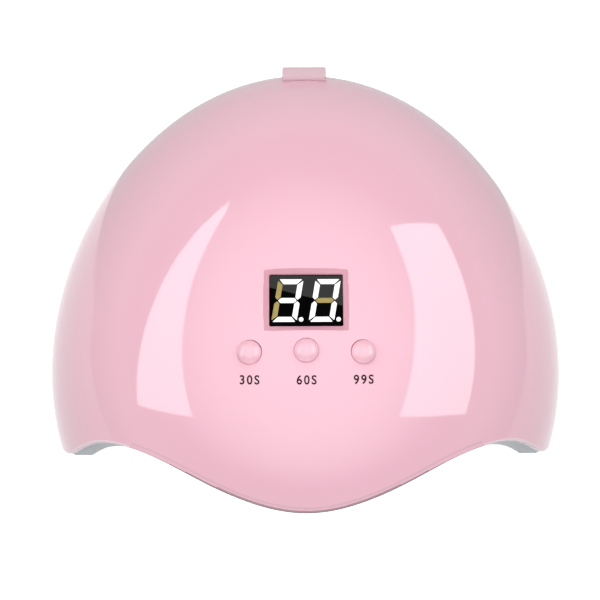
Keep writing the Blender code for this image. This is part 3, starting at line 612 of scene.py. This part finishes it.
def build_shell():
    """Shell as closed rings: window ledge, recess wall, dome, rounded edge and inner face."""
    edge_unit = shell_edge()
    edge = OUTER.place(edge_unit)
    along = unit_rows(np.roll(edge, -1, 0) - np.roll(edge, 1, 0))
    outward = unit_rows(np.cross(along, OUTER.normal(edge_unit)))
    top = OUTER.place(np.array([0, 0, 1.0]))
    outward *= np.sign(((edge - top) * outward).sum(1, keepdims=True))
    half_wall = WALL / 2
    reach = half_wall - VISOR_ROUNDING * np.exp(-(edge[:, :1] / VISOR_ROUNDING_WIDTH) ** 2)
    last_unit = unit_rows(OUTER.unit(edge - reach * outward))
    last = OUTER.place(last_unit)
    last_normal = OUTER.normal(last_unit)

    flat = to_panel(edge)
    across, back = window_outline(np.arctan2(flat[:, 1], flat[:, 0]), WINDOW_MOUTH, WINDOW_CORNER)
    outline = from_panel(across, back, panel_surface(across, back))
    grow = 1 + WINDOW_SOFT_EDGE / np.hypot(across, back)
    start = from_panel(across * grow, back * grow, panel_surface(across * grow, back * grow))
    start_unit = unit_rows(OUTER.unit(start))

    def resized(half):
        """The window's mouth, stretched to other half sizes."""
        return across * half[0] / WINDOW_MOUTH[0], back * half[1] / WINDOW_MOUTH[1]

    face_edge = from_panel(*resized(WINDOW_FACE), -WINDOW_DEPTH)
    ledge = from_panel(*resized(WINDOW_FACE), -POCKET_DEPTH)
    pocket = from_panel(*resized(POCKET_HALF), -POCKET_DEPTH)
    inner = OUTER.grown(-WALL)
    pocket_low = from_panel(*resized(POCKET_HALF), panel_surface(*resized(POCKET_HALF), inner))

    shares = np.linspace(0, 1, DOME_ROWS)
    shares = np.insert(shares, -1, SHADE_EDGE_SHARE * shares[-1] + (1 - SHADE_EDGE_SHARE) * shares[-2])
    rows = [OUTER.place(unit_rows(slerp(start_unit, last_unit, share))) for share in shares]
    for angle in np.linspace(0, pi, RIM_STEPS + 1)[1:-1]:
        rows.append(last + half_wall * (last_normal * (cos(angle) - 1) + outward * sin(angle)))
    inner_start = unit_rows(inner.unit(pocket_low))
    for share in np.linspace(1, 0, INNER_ROWS)[:-1]:
        unit = unit_rows(slerp(inner_start, last_unit, share))
        blend = share ** 3
        rows.append((1 - blend) * inner.place(unit) + blend * (OUTER.place(unit) - WALL * OUTER.normal(unit)))
    rows += [pocket_low, pocket, ledge]
    wall_low = face_edge + (outline - face_edge) * 0.25
    wall_high = outline + (face_edge - outline) * 0.35
    rows += bezier(ledge, face_edge, wall_low, 3) + [wall_low, wall_high]
    rows += bezier(wall_high, outline, start, 4)
    shell = mesh_object("shell_pink_dome", np.vstack(rows), loop_faces(len(rows), SHELL_COLUMNS, True))
    face_outwards(shell)
    paint_rim(shell, edge)
    return shell


def paint_rim(shell, edge):
    """Painted highlight as a light line round the legs; painted shade as a band and a dark edge that tapers away
    from the tip along the visor.
    """
    for material in SHELL_PINKS_AND_PAINTED_LIGHT:
        shell.data.materials.append(material)
    for face in shell.data.polygons:
        row, column = divmod(face.index, SHELL_COLUMNS)
        turn = row - DOME_ROWS  # steps round the rim; negative ones are on the dome
        across = abs(edge[column][0]) / VISOR_HALF_WIDTH
        if edge[column][1] >= DOME_Y - VISOR_HALF_WIDTH / 2:
            continue
        if across > 1:
            # painted highlight along the legs' edges
            if 0 <= turn < HIGHLIGHT_LINE_ROWS:
                face.material_index = SHELL_PINKS_AND_PAINTED_LIGHT.index(PINK_HIGHLIGHT_LINE)
        # painted shade: a darker band inside the visor's rim
        elif turn == SHADE_BAND_ROW:
            face.material_index = SHELL_PINKS_AND_PAINTED_LIGHT.index(PINK_SHADE_BAND)
        # painted shade: a dark edge that tapers away from the visor's tip
        elif SHADE_EDGE_TAPER * across ** 4 + SHADE_EDGE_ROW <= turn <= RIM_STEPS / 2:
            face.material_index = SHELL_PINKS_AND_PAINTED_LIGHT.index(PINK_SHADE_EDGE)


def paint_recess(made):
    """Paints shade on the display's sloped walls and the rear rib as duller pinks."""
    for face in made.data.polygons:
        centre = np.array(face.center)
        across, back, height = to_panel(centre)
        inside = abs(across) < WINDOW_MOUTH[0] + PAINT_SLACK and abs(back) < WINDOW_MOUTH[1] + PAINT_SLACK
        unit = OUTER.unit(centre)
        depth = (1 - np.linalg.norm(unit)) * DOME_HEIGHT
        on_rib = abs(centre[0]) < RIB_HALF + 2 * PAINT_SLACK and centre[1] > DOME_Y + RIB_PAINT_FROM
        # painted shade on the recess walls
        if inside and -POCKET_DEPTH - PAINT_SLACK < height < panel_surface(across, back) - 0.2 * PAINT_SLACK:
            face.material_index = SHELL_PINKS_AND_PAINTED_LIGHT.index(PINK_RECESS_SHADE)
        elif on_rib and depth < PAINT_SLACK:
            along = face.normal.dot(Vector(OUTER.normal(unit_rows(unit))))
            if depth < -0.4 * PAINT_SLACK or along < 0.9:
                # painted shade on the rib: a duller pink, greyer on its front wall
                facing_front = face.normal.y < -0.9
                face.material_index = SHELL_PINKS_AND_PAINTED_LIGHT.index(PINK_STEP_SHADE if facing_front else PINK_RIB_SHADE)


def rib_tool():
    """Rear rib with rounded edges, from the CAD rib's side view."""
    wall_middle = OUTER.grown(-WALL / 2)
    front = DOME_Y + RIB_TOP_FRONT
    points = [(front, RIB_TOP), (front + RIB_TOP_DEPTH, RIB_TOP), (DOME_Y + RIB_FACE, RIB_FACE_TOP),
              (DOME_Y + RIB_FACE, RIB_LOW)]
    for z in np.linspace(RIB_LOW, float(wall_middle.top_z(0.0, front)), 12):
        points.append((float(wall_middle.side_y(0.0, z, 1)), float(z)))
    bm = bmesh.new()
    extrude(bm, [(-RIB_HALF, y, z) for y, z in points], (2 * RIB_HALF, 0, 0))
    bmesh.ops.recalc_face_normals(bm, faces=bm.faces)
    sharp = []
    for item in bm.edges:
        if item.calc_face_angle(0) > radians(18) and max(v.co.y for v in item.verts) > front - 0.0008:
            sharp.append(item)
    bmesh.ops.bevel(bm, geom=sharp, offset=RIB_ROUNDING, segments=3, profile=0.5, affect="EDGES")
    return bm_object("rib_tool", bm)


def shell_tools():
    """Joins and cuts of the shell: rear rib, screw bosses, board posts, button holes and socket hole."""
    posts, holes, pins = bmesh.new(), bmesh.new(), bmesh.new()
    for i in CORNERS:
        place = upright_place(f"case_screw_{i}")
        cylinder(posts, place, BOSS_RADIUS, FLANGE_TOP + 0.0003, BOSS_TOP, 24)
        cylinder(pins, place, BOSS_HOLE_RADIUS, 0, BOSS_HOLE_TOP, 16)
    for side in ("left", "right"):
        across, back, _ = panel_middle(f"board_screw_{side}")
        place = PANEL @ Matrix.Translation((across, back, 0))
        cylinder(posts, place, POST_RADIUS, POST_LOW, float(panel_surface(across, back)) - WALL / 2, 24)
        cylinder(pins, place, POST_HOLE_RADIUS, POST_HOLE_LOW, POST_HOLE_HIGH, 16)
    for _, place in button_places():
        cylinder(holes, place, BUTTON_HOLE_RADIUS, -0.009, 0.006, 72)
    cylinder(pins, socket_place(), SOCKET_HOLE_RADIUS, -0.006, 0.003, 64)
    return [(rib_tool(), "UNION"), (bm_object("post_tool", posts), "UNION"),
            (bm_object("hole_tool", holes), "DIFFERENCE"), (bm_object("pin_tool", pins), "DIFFERENCE")]


def button_places():
    """Side name and surface frame of each button, from the CAD caps' boxes."""
    places = []
    back = -(BUTTONS_FORWARD - PANEL_FORWARD) / cos(PANEL_TILT)
    for side in ("left", "middle", "right"):
        across = panel_middle(f"button_{side}")[0]
        places.append((side, PANEL @ Matrix.Translation((across, back, float(panel_surface(across, back))))))
    return places


def socket_place():
    """Frame of the power socket: origin at the mouth of its nose, Z pointing back out of it."""
    mouth = box("dc_jack")[1].y
    low, high = box("dc_jack_pin")
    return Matrix.Translation((0, mouth, (low.z + high.z) / 2)) @ Matrix.Rotation(-pi / 2, 4, "X")


# ---- reflector, lip and flange
LINER_COLUMNS, MOUTH_COLUMNS = 420, 190
POLE_SHARE = 0.015  # rings start this far from the bowl's top


def lip_y(x):
    """Front of the lip in plan, as in the CAD liner."""
    edge = OUTER.side_y(x, np.maximum(arch_z(x, ARCH), BASE_Z), -1) + LIP_SETBACK
    leg = DOME_Y - LEG_FRONT - LEG_SLOPE * np.clip(MOUTH["half_width"] - np.abs(x), 0, None)
    return np.maximum(edge, leg)


def bowl_reach(direction, bowl, grow):
    """Distance from the bowl's centre to the cavity wall: the bowl, joined smoothly to the mouth tunnel."""
    def in_bowl(reach):
        return np.linalg.norm(bowl.unit(BOWL_CENTRE + reach[..., None] * direction), axis=-1) < 1

    def in_arch(reach):
        point = BOWL_CENTRE + reach[..., None] * direction
        return point[..., 2] < arch_z(point[..., 0], MOUTH, grow) + 1e-9

    near = np.zeros(direction.shape[:-1])
    bowl_wall = last_inside(in_bowl, near, near + 0.12)
    arch_wall = np.where(direction[..., 1] < 0, last_inside(in_arch, near, near + 0.2), 0)
    gap = np.clip(MOUTH_BLEND - np.abs(bowl_wall - arch_wall), 0, None)
    return np.maximum(bowl_wall, arch_wall) + gap ** 2 / (4 * MOUTH_BLEND)


def cavity_point(direction, bowl, grow=0.0):
    return BOWL_CENTRE + bowl_reach(direction, bowl, grow)[..., None] * direction


def liner_edges():
    """Inner edge, outer edge and front share of each column round the mouth and the bottom rim."""
    x = 0.9995 * MOUTH["half_width"] * np.cos(np.linspace(0, pi, MOUTH_COLUMNS))
    z = np.maximum(arch_z(x, MOUTH), BASE_Z)
    mouth = stack(x, lip_y(x), z)
    rise = np.arctan2(z - BASE_Z, x)

    def lip_point(reach):
        across = reach * np.cos(rise)
        return stack(across, lip_y(across), BASE_Z + reach * np.sin(rise))

    def in_envelope(reach):
        return np.linalg.norm(ENVELOPE.unit(lip_point(reach)), axis=-1) < 1

    outer = lip_point(last_inside(in_envelope, np.full(MOUTH_COLUMNS, 0.03), np.full(MOUTH_COLUMNS, 0.1)))

    def round_the_back(start):
        """Level directions from the left leg round the back to the right one."""
        turn = start - np.linspace(0, 1, LINER_COLUMNS - MOUTH_COLUMNS + 2)[1:-1] * (3 * pi + 2 * start)
        return stack(np.cos(turn), np.sin(turn), 0.0)

    leg_in, leg_out = mouth[-1] - BOWL_CENTRE, ENVELOPE.unit(outer[-1])
    rim = cavity_point(round_the_back(atan2(leg_in[1], leg_in[0])), BOWL.grown(-BOWL_WALL))
    rim_outer = ENVELOPE.place(round_the_back(atan2(leg_out[1], leg_out[0])))
    is_front = np.concatenate([np.ones(len(mouth)), np.zeros(len(rim))])
    return np.vstack([mouth, rim]), np.vstack([outer, rim_outer]), is_front


def build_liner():
    """Reflector as closed rings: cavity wall, rounded mouth edge, lip or flange, and back face."""
    inner_edge, outer_edge, is_front = liner_edges()
    front = smooth_loop(is_front[:, None], 3)
    back_way = stack(0.0, front[:, 0], 1 - front[:, 0])
    outwards = unit_rows(outer_edge - inner_edge)
    pole = unit_rows(np.array([0.002, 0.003, 1.0]) + np.zeros_like(inner_edge))

    last_in = unit_rows(inner_edge + LIP_ROUNDING * back_way - BOWL_CENTRE)
    rows = [cavity_point(unit_rows(slerp(pole, last_in, s)), BOWL.grown(-BOWL_WALL))
            for s in np.linspace(POLE_SHARE, 1, 46)]
    lip_start = inner_edge + LIP_ROUNDING * outwards
    rows += bezier(rows[-1], inner_edge, lip_start, 5)
    width = outer_edge - lip_start
    rows += [with_lip_plane(lip_start + share * width, front) for share in (0, 0.25, 0.5, 0.75, 0.96)]
    lip_end = outer_edge + 0.0006 * back_way
    rows += bezier(rows[-1], outer_edge, lip_end, 2) + [lip_end, outer_edge + LIP_THICKNESS * back_way]
    behind = inner_edge + LIP_THICKNESS * back_way + BOWL_WALL * outwards
    last_out = unit_rows(behind - BOWL_CENTRE)
    rows += [cavity_point(unit_rows(slerp(pole, last_out, s)), BOWL, BOWL_WALL)
             for s in np.linspace(1, POLE_SHARE, 18)]
    faces = loop_faces(len(rows), LINER_COLUMNS, False)
    last_ring = (len(rows) - 1) * LINER_COLUMNS
    faces.append(tuple(range(LINER_COLUMNS)))
    faces.append(tuple(last_ring + k for k in reversed(range(LINER_COLUMNS))))
    liner = mesh_object("reflector_bowl", np.vstack(rows), faces)
    face_outwards(liner)
    return liner


def with_lip_plane(points, front):
    """Puts the lip's rows on its plan curve; flange rows stay on the bottom plane."""
    moved = points.copy()
    moved[:, 1] = np.where(front[:, 0] > 0.5, lip_y(points[:, 0]), points[:, 1])
    return moved


def led_places():
    """Frame of each LED at the bowl's outer face with Z into the bowl, from the CAD beads."""
    places = []
    for i in range(1, LED_COUNT + 1):
        low, high = box(f"led_{i:02d}")
        unit = unit_rows(BOWL.unit(np.array((low + high) / 2)))
        turn = Vector(-BOWL.normal(unit)).to_track_quat("Z", "Y").to_matrix().to_4x4()
        places.append(Matrix.Translation(Vector(BOWL.place(unit))) @ turn)
    return places


def led_cup_tool():
    """Cutter for the cups: a straight hole that widens to a cone at the cavity wall."""
    profile = [(0, 0.006), (0.0052, 0.006), (0.0037, 0.0022), (0.00265, 0.0011), (0.00265, -0.003),
               (0, -0.003)]
    bm = bmesh.new()
    for i, place in enumerate(led_places()):
        cup = turned(f"cup_{i}", profile, place, 36)
        bm.from_mesh(cup.data)
        bpy.data.objects.remove(cup)
    return bm_object("cup_tool", bm)


# ---- small parts
def build_leds():
    """Each bead: a white base, a yellow phosphor disc and a clear lens over it."""
    base = [(0, -0.001), (0.0022, -0.001), (0.0023, -0.0009), (0.0023, 0.0012), (0.0021, 0.0014),
            (0.0017, 0.0014), (0.0016, 0.0011), (0, 0.0011)]
    disc = [(0, 0.00105), (0.00155, 0.00105), (0.00155, 0.0014), (0, 0.00145)]
    lens = [(0, 0.0015), (LENS_RADIUS, 0.0015)] + quarter_arc(0, 0.0016, LENS_RADIUS, 0.0015, 6)
    for i, place in enumerate(led_places(), 1):
        body = turned(f"led_bead_{i:02d}", base, place, 40)
        phosphor = turned("phosphor", disc, place, 32)
        dome = turned("lens", lens, place, 32)
        join_materials(body, [(phosphor, PHOSPHOR), (dome, LENS)], WHITE)
        shade_round(body)
        finish_piece(body, "case", node=f"led_{i:02d}")


def join_materials(target, others, own):
    """Merges other objects into target, each with its own material."""
    target.data.materials.append(own)
    bm = bmesh.new()
    bm.from_mesh(target.data)
    for index, (other, material) in enumerate(others):
        target.data.materials.append(material)
        known = set(bm.faces)
        bm.from_mesh(other.data)
        for face in bm.faces:
            if face not in known:
                face.material_index = index + 1
        bpy.data.objects.remove(other)
    bm.to_mesh(target.data)
    bm.free()


def build_buttons():
    """Smooth domed caps with a rounded shoulder and the flange behind the shell."""
    rise = BUTTON_RISE - BUTTON_SHOULDER
    ball = (BUTTON_RADIUS ** 2 + rise ** 2) / (2 * rise)
    spread = 0.93 * asin(BUTTON_RADIUS / ball)
    profile = []
    for angle in np.linspace(0, spread, 18):
        profile.append((ball * sin(angle), BUTTON_RISE - ball * (1 - cos(angle))))
    side_foot = np.array((BUTTON_RADIUS, 0.0))
    shoulder = bezier(np.array(profile[-1]), side_foot + (0, BUTTON_SHOULDER), side_foot, 5)
    profile += [tuple(point) for point in shoulder]
    profile += [tuple(side_foot), (BUTTON_RADIUS, -0.0002), (SKIRT_RADIUS, -0.0003),
                (SKIRT_RADIUS, CAP_FLANGE_HIGH), (CAP_FLANGE_RADIUS, CAP_FLANGE_HIGH),
                (CAP_FLANGE_RADIUS, CAP_FLANGE_LOW), (STEM_RADIUS, CAP_FLANGE_LOW), (STEM_RADIUS, STEM_LOW),
                (0, STEM_LOW)]
    for side, place in button_places():
        cap = turned(f"cap_{side}", profile, place, 72)
        shade_round(cap)
        finish_piece(cap, f"{side}_button", PINK_CAP, f"button_{side}")


def segment_outline(name, wide, high, thick):
    """Corner points of one display segment, in a digit wide by high, before the slant."""
    w, h, t, gap = wide / 2, high / 2, thick, SEGMENT_GAP
    if name == "g":
        tip = w - t / 2 - gap
        flat = tip - t / 2
        return [(-tip, 0), (-flat, t / 2), (flat, t / 2), (tip, 0), (flat, -t / 2), (-flat, -t / 2)]
    if name in "ad":
        sign = 1 if name == "a" else -1
        outer, inner = w - gap - 0.0002, w - t - gap
        return [(-outer, sign * h), (outer, sign * h), (inner, sign * (h - t)), (-inner, sign * (h - t))]
    side = 1 if name in "bc" else -1
    up = 1 if name in "bf" else -1
    x_out, x_in = side * w, side * (w - t)
    y_far, y_near = up * (h - gap - 0.0001), up * gap
    return [(x_out, y_far - up * 0.0002), (x_in, y_far - up * (t - 0.0001)), (x_in, y_near + up * t / 2),
            (x_in + side * t / 2, y_near), (x_out, y_near + up * t / 2)]


def flat_piece(name, outlines, face_height, thickness, rounding):
    """Thin slabs on the display's face, one for each outline of panel points."""
    bm = bmesh.new()
    for points in outlines:
        extrude(bm, [(x, y, face_height) for x, y in points], (0, 0, thickness))
    bmesh.ops.recalc_face_normals(bm, faces=bm.faces)
    upright = [e for e in bm.edges if abs(e.verts[0].co.z - e.verts[1].co.z) > thickness / 2]
    bmesh.ops.bevel(bm, geom=upright, offset=rounding, segments=3, profile=0.5, affect="EDGES")
    bmesh.ops.transform(bm, matrix=PANEL, verts=bm.verts)
    return bm_object(name, bm)


def build_display():
    """Display body with a fine edge, and its slanted digits and decimal points."""
    middle = PANEL @ Matrix.Translation((0, 0, DISPLAY_TOP - DISPLAY_SIZE[2] / 2))
    body = rounded_block("display_body", DISPLAY_SIZE, middle, 0.0003, 3)
    finish_piece(body, "case", DISPLAY, "display_module")

    lit = {-1: "abcdg", 1: "abcdef"}
    on, off, dots = [], [], []
    for side in (-1, 1):
        middle = side * DIGIT_OFFSET
        for name in "abcdefg":
            corners = segment_outline(name, DIGIT_WIDE, DIGIT_HIGH, SEGMENT_THICK)
            outline = [(middle + x + y * DIGIT_SLANT, y + 0.00012) for x, y in corners]
            (on if name in lit[side] else off).append(outline)
        dot_x, dot_y = middle + DIGIT_WIDE / 2 + 0.0003, -DIGIT_HIGH / 2 + 0.0009
        angles = [tau * i / 28 for i in range(28)]
        dots.append([(dot_x + DOT_RADIUS * cos(a), dot_y + DOT_RADIUS * sin(a)) for a in angles])
    for name, outlines, material, rounding in (("digits_lit", on, SEGMENT_LIT, 0.00018),
                                               ("digits_unlit", off, SEGMENT_OFF, 0.00018),
                                               ("digit_points", dots, SEGMENT_LIT, 0.00001)):
        piece = flat_piece(name, outlines, DISPLAY_TOP + 0.00001, 0.00006, rounding)
        finish_piece(piece, "case", material)


def build_labels():
    """Generic timer values under the buttons, laid on the dome."""
    row_height = panel_surface(0.0, LABEL_BACK)
    for (side, place), text in zip(button_places(), ("30S", "60S", "99S")):
        bm = letters(f"timer_{side}", text)
        local = np.array([vert.co[:] for vert in bm.verts])
        across = local[:, 0] * 0.95 + to_panel(np.array(place.translation))[0]
        forward = local[:, 1] + LABEL_BACK - LABEL_LEVEL * (panel_surface(across, LABEL_BACK) - row_height)
        points = from_panel(across, forward, panel_surface(across, forward) + local[:, 2] + 0.00002)
        for vert, point in zip(bm.verts, points):
            vert.co = Vector(point)
        label = bm_object(f"timer_label_{side}", bm)
        finish_piece(label, "case", LABEL_INK)


def letters(name, text):
    """Flat raised letters, cut fine enough to bend over the dome."""
    curve = bpy.data.curves.new(name, "FONT")
    curve.body = text
    curve.size = CAPITAL_HEIGHT / 0.69  # the font's capitals are 0.69 of its size
    curve.space_character = 1.28
    curve.align_x = "CENTER"
    curve.align_y = "CENTER"
    curve.extrude = 4e-5
    curve.offset = 6.5e-5
    holder = add_object(name, curve)
    bpy.context.view_layer.update()
    mesh = bpy.data.meshes.new_from_object(holder.evaluated_get(bpy.context.evaluated_depsgraph_get()))
    bpy.data.objects.remove(holder)
    bm = bmesh.new()
    bm.from_mesh(mesh)
    bpy.data.meshes.remove(mesh)
    bmesh.ops.remove_doubles(bm, verts=bm.verts, dist=1e-6)
    bmesh.ops.triangulate(bm, faces=bm.faces)
    long_edges = [e for e in bm.edges if e.calc_length() > 0.0006]
    bmesh.ops.subdivide_edges(bm, edges=long_edges, cuts=2)
    bmesh.ops.triangulate(bm, faces=bm.faces)
    return bm


def build_socket():
    """Fine power socket nose with a lead-in, its block, and its pin with a round tip."""
    place = socket_place()
    low, high = box("dc_jack")
    back = low.y - high.y  # the far end of the socket, in its own frame
    nose = [(0, back + 0.0012), (SOCKET_BORE, back + 0.0012), (SOCKET_BORE, -0.0005), (0.0034, -0.0001),
            (0.0036, 0), (0.0038, 0), (0.004, -0.0002), (0.004, back + 0.0045), (0.0036, back + 0.0045),
            (0.0036, back + 0.0002), (0, back + 0.0002)]
    socket = turned("socket_nose", nose, place, 64)
    block_place = place @ Matrix.Translation((0, 0, back + SOCKET_BLOCK[2] / 2))
    block = rounded_block("socket_body", SOCKET_BLOCK, block_place, 0.0003, 2)
    drill = bmesh.new()
    cylinder(drill, place, 0.0037, back + 0.0001, 0.002, 48)
    apply_booleans(block, [(bm_object("socket_drill", drill), "DIFFERENCE")])
    for piece, node in ((socket, "dc_jack"), (block, None)):
        shade_round(piece)
        finish_piece(piece, "case", BLACK, node)
    start = box("dc_jack_pin")[0].y - high.y
    pin = [(0, start), (PIN_RADIUS, start)] + quarter_arc(0, -0.0022, PIN_RADIUS, 0.0008, 6)
    tip = turned("socket_pin", pin, place, 32)
    shade_round(tip)
    finish_piece(tip, "case", STEEL, "dc_jack_pin")


def build_foot(number):
    """Rubber pad with a rounded rim and a shallow hollow underneath."""
    node = f"foot_{number}"
    top = box(node)[1].z
    profile = [(0, top), (0.0035, top)] + quarter_arc(0.0030, 0.0005, 0.0005, -0.0005, 4)
    profile += [(0.0026, 0), (0.0024, 0.00015), (0, 0.00015)]
    pad = turned(f"pad_{number}", profile, upright_place(node), 48)
    shade_round(pad)
    finish_piece(pad, "case", RUBBER, node)


def build_screw(number):
    """Case screw: a pan head with a cross recess, and its shank."""
    node = f"case_screw_{number}"
    low, high = box(node)
    place = upright_place(node)
    profile = [(0, high.z), (0.0011, high.z - 0.0006), (0.0011, 0.0023), (0.0023, 0.0023), (0.0023, 0.0019),
               (0.0021, 0.0016), (0.0016, low.z), (0, low.z)]
    screw = turned(f"screw_{number}", profile, place, 36)
    long, short, deep = 0.0024, 0.0005, 0.0014
    cross = []
    for side, size in (("long", (long, short, deep)), ("wide", (short, long, deep))):
        tool = bmesh.new()
        matrix = place @ Matrix.Translation((0, 0, low.z)) @ Matrix.Diagonal((*size, 1))
        bmesh.ops.create_cube(tool, size=1, matrix=matrix)
        cross.append((bm_object(f"cross_{side}_{number}", tool), "DIFFERENCE"))
    apply_booleans(screw, cross)
    shade_round(screw)
    finish_piece(screw, "case", STEEL, node)


# ---- stage, lights and camera
CENTRE = Vector((0, DOME_Y, 0))  # on the table, under the dome's middle
CAMERA_ELEVATION, CAMERA_AZIMUTH = 65, -0.6
CAMERA_DISTANCE = 0.8
CAMERA_LENS = 146.4  # millimetres, on a 36 mm sensor
LIGHT_DISTANCE = 1.2


def emissive(name, luminance, pattern=None):
    """Plain emission, white or in the greys that a pattern function adds to the node tree."""
    made, tree, shader = node_material(name)
    set_sockets(shader, Base_Color=(0, 0, 0, 1), Specular_IOR_Level=0, Emission_Color=(1, 1, 1, 1),
                Emission_Strength=luminance)
    if pattern:
        link(tree, pattern(tree), shader.inputs["Emission Color"])
    return made


def disc_fade(tree):
    """Even round the object's middle, and fading to nothing one unit out."""
    gradient = placed_node(tree, "ShaderNodeTexGradient")
    gradient.gradient_type = "SPHERICAL"
    fade = ramp(tree, gradient.outputs["Fac"], 0.0, 1.0, 0.0, 0.9)
    fade.node.color_ramp.interpolation = "EASE"
    return fade


def height_ramp(tree, space, low, high, low_at, high_at):
    """Grey that changes from low to high with height in a space of the texture coordinates."""
    height = placed_node(tree, "ShaderNodeSeparateXYZ", space).outputs["Z"]
    return ramp(tree, height, low, high, low_at, high_at)


def wall_fade(tree):
    """Lighter near the table than higher up."""
    return height_ramp(tree, "Object", 0.68, 0.1, 0.1, 0.34)


def stage_piece(made, material, camera=False, glossy=False):
    """Stage geometry that only the named kinds of light ray can see."""
    made.data.materials.append(material)
    made.visible_camera = camera
    made.visible_diffuse = False
    made.visible_glossy = glossy
    made.visible_transmission = glossy
    made.visible_shadow = False


def card(name, corners, luminance):
    """Flat light that shows only as a reflection; corners are measured from CENTRE."""
    made = mesh_object(name, [CENTRE + Vector(corner) for corner in corners], [tuple(range(len(corners)))])
    stage_piece(made, emissive(name, luminance), glossy=True)


def sphere(name, radius):
    bm = bmesh.new()
    bmesh.ops.create_uvsphere(bm, u_segments=48, v_segments=24, radius=radius)
    return bm_object(name, bm)


def add_floor():
    """Pale floor and backdrop that only the camera sees, and the dim walls that the gloss mirrors."""
    floor = mesh_object("studio_floor", [(-3, -3, 0), (3, -3, 0), (3, 3, 0), (-3, 3, 0)], [(0, 1, 2, 3)])
    floor.location.z = CAD_BOUNDS[0][2] - 0.0002
    made, tree, shader = node_material("floor_white")
    link(tree, ramp(tree, noise(tree, 3.0), 0.78, 0.8), shader.inputs["Base Color"])
    set_sockets(shader, Roughness=0.9, Specular_IOR_Level=0, Emission_Color=(1, 1, 1, 1),
                Emission_Strength=0.74)
    stage_piece(floor, made, camera=True)

    stage_piece(sphere("studio_backdrop", 4.5), emissive("backdrop_white", 1.0), camera=True)
    walls = sphere("studio_walls", 1)
    walls.scale = (4.2, 4.2, 4.2)
    stage_piece(walls, emissive("walls_dim", 1.0, wall_fade), glossy=True)


def add_cards():
    """What the gloss mirrors: a table sheet, a bright strip, a black sheet painted as the lamp's shadow in front
    of it, two softboxes, an overhead glow and the display's streak.
    """
    card("table_sheet", [(-0.25, -0.6, 0), (0.19, -0.6, 0), (0.19, 0.064, 0), (-0.25, 0.092, 0)], 1.1)
    card("front_strip", [(-0.35, -0.7, 0.0008), (0.35, -0.7, 0.0008), (0.22, -0.23, 0.0008),
                         (-0.22, -0.23, 0.0008)], 5.0)
    # a black sheet standing in for the lamp's shadow on the table, seen only in the rim's gloss
    card("front_shade", [(-0.17, -0.23, 0.0006), (0.17, -0.23, 0.0006), (0.07, -0.055, 0.0006),
                         (-0.07, -0.055, 0.0006)], 0.0)
    card("softbox_left", [(-1, -0.595, 0.737), (-1, -0.204, 0.225), (-1, 0.784, 0.685), (-1, 2.214, 1.42),
                          (-1, 0.6, 0.96), (-1, 0.0, 0.83)], 3.8)
    card("softbox_right", [(1, -0.782, 1.022), (1, -0.305, 0.27), (1, 0.99, 0.452), (1, 1.353, 1.233),
                           (1, 0.5, 1.064)], 3.8)
    card("display_flag", [(-0.045, 0.165, 1), (0.055, 0.165, 1), (0.055, 0.265, 1), (-0.045, 0.265, 1)], 0.0)
    card("display_card", [(-0.045, 0.226, 0.99), (0.055, 0.2, 0.99), (0.055, 0.26, 0.99),
                          (-0.045, 0.26, 0.99)], 1.25)

    bm = bmesh.new()
    bmesh.ops.create_circle(bm, cap_ends=True, segments=96, radius=1)
    glow_disc = bm_object("overhead_glow", bm)
    glow_disc.location = CENTRE + Vector((0, -0.6, 1.25))
    glow_disc.scale = (2.6, 3.2, 1)
    stage_piece(glow_disc, emissive("overhead_glow", 1.5, disc_fade), glossy=True)


def direction(azimuth, elevation):
    """Unit vector in degrees: azimuth 0 is towards the front and 90 to the right."""
    turn, rise = radians(azimuth), radians(elevation)
    return Vector((sin(turn) * cos(rise), -cos(turn) * cos(rise), sin(rise)))


def area_light(name, azimuth, elevation, size, power):
    """Soft light that the gloss doesn't mirror."""
    away = direction(azimuth, elevation)
    light = bpy.data.lights.new(name, "AREA")
    light.shape = "DISK"
    light.size = size
    light.energy = power
    made = add_object(name, light)
    made.location = CENTRE + Vector((0, 0, 0.04)) + LIGHT_DISTANCE * away
    made.rotation_euler = away.to_track_quat("Z", "Y").to_euler()
    made.visible_glossy = False
    made.visible_camera = False


def add_lights():
    world = bpy.data.worlds.new("studio_world")
    world.use_nodes = True
    tree = world.node_tree
    shade = height_ramp(tree, "Generated", 0.13, 0.57, 0.0, 0.12)
    link(tree, shade, tree.nodes["Background"].inputs["Color"])
    bpy.context.scene.world = world
    for name, azimuth, elevation, power in (("light_left", -80, 40, 3.5), ("light_right", 80, 40, 3.1),
                                            ("light_front", 0, 52, 4.4), ("light_back", 180, 48, 2.6)):
        area_light(name, azimuth, elevation, 0.9, power)


def add_camera():
    """In front of the lamp and high above it, with the lamp just below the picture's middle."""
    subject = CENTRE + Vector((0, 0, 0.035))
    place = subject + CAMERA_DISTANCE * direction(CAMERA_AZIMUTH, CAMERA_ELEVATION)
    elevation = radians(CAMERA_ELEVATION)
    up = Vector((0, sin(elevation), cos(elevation)))
    aim = subject + 0.00875 * up + Vector((-0.0018, 0, 0))
    camera = bpy.data.cameras.new("camera")
    camera.sensor_width = 36
    camera.lens = CAMERA_LENS
    made = add_object("camera", camera)
    made.location = place
    made.rotation_euler = (place - aim).to_track_quat("Z", "Y").to_euler()
    bpy.context.scene.camera = made


# ---- build
for node_name, node in frame["nodes"].items():
    node.data.materials.clear()
    node.data.materials.append(SLOT_FINISH[SLOTS[node_name]])

shell_piece = build_shell()
apply_booleans(shell_piece, shell_tools())
shade_round(shell_piece, 30)
follow_surface_normals(shell_piece, OUTER)
paint_recess(shell_piece)
finish_piece(shell_piece, "case", node="outer_shell")

liner_piece = build_liner()
apply_booleans(liner_piece, [(led_cup_tool(), "DIFFERENCE")])
shade_round(liner_piece, 30)
finish_piece(liner_piece, "case", LINER, "inner_liner")

build_display()
build_labels()
build_buttons()
build_leds()
build_socket()
for corner_number in CORNERS:
    build_foot(corner_number)
    build_screw(corner_number)
add_floor()
add_cards()
add_lights()
add_camera()
bpy.context.scene.view_settings.view_transform = "Standard"
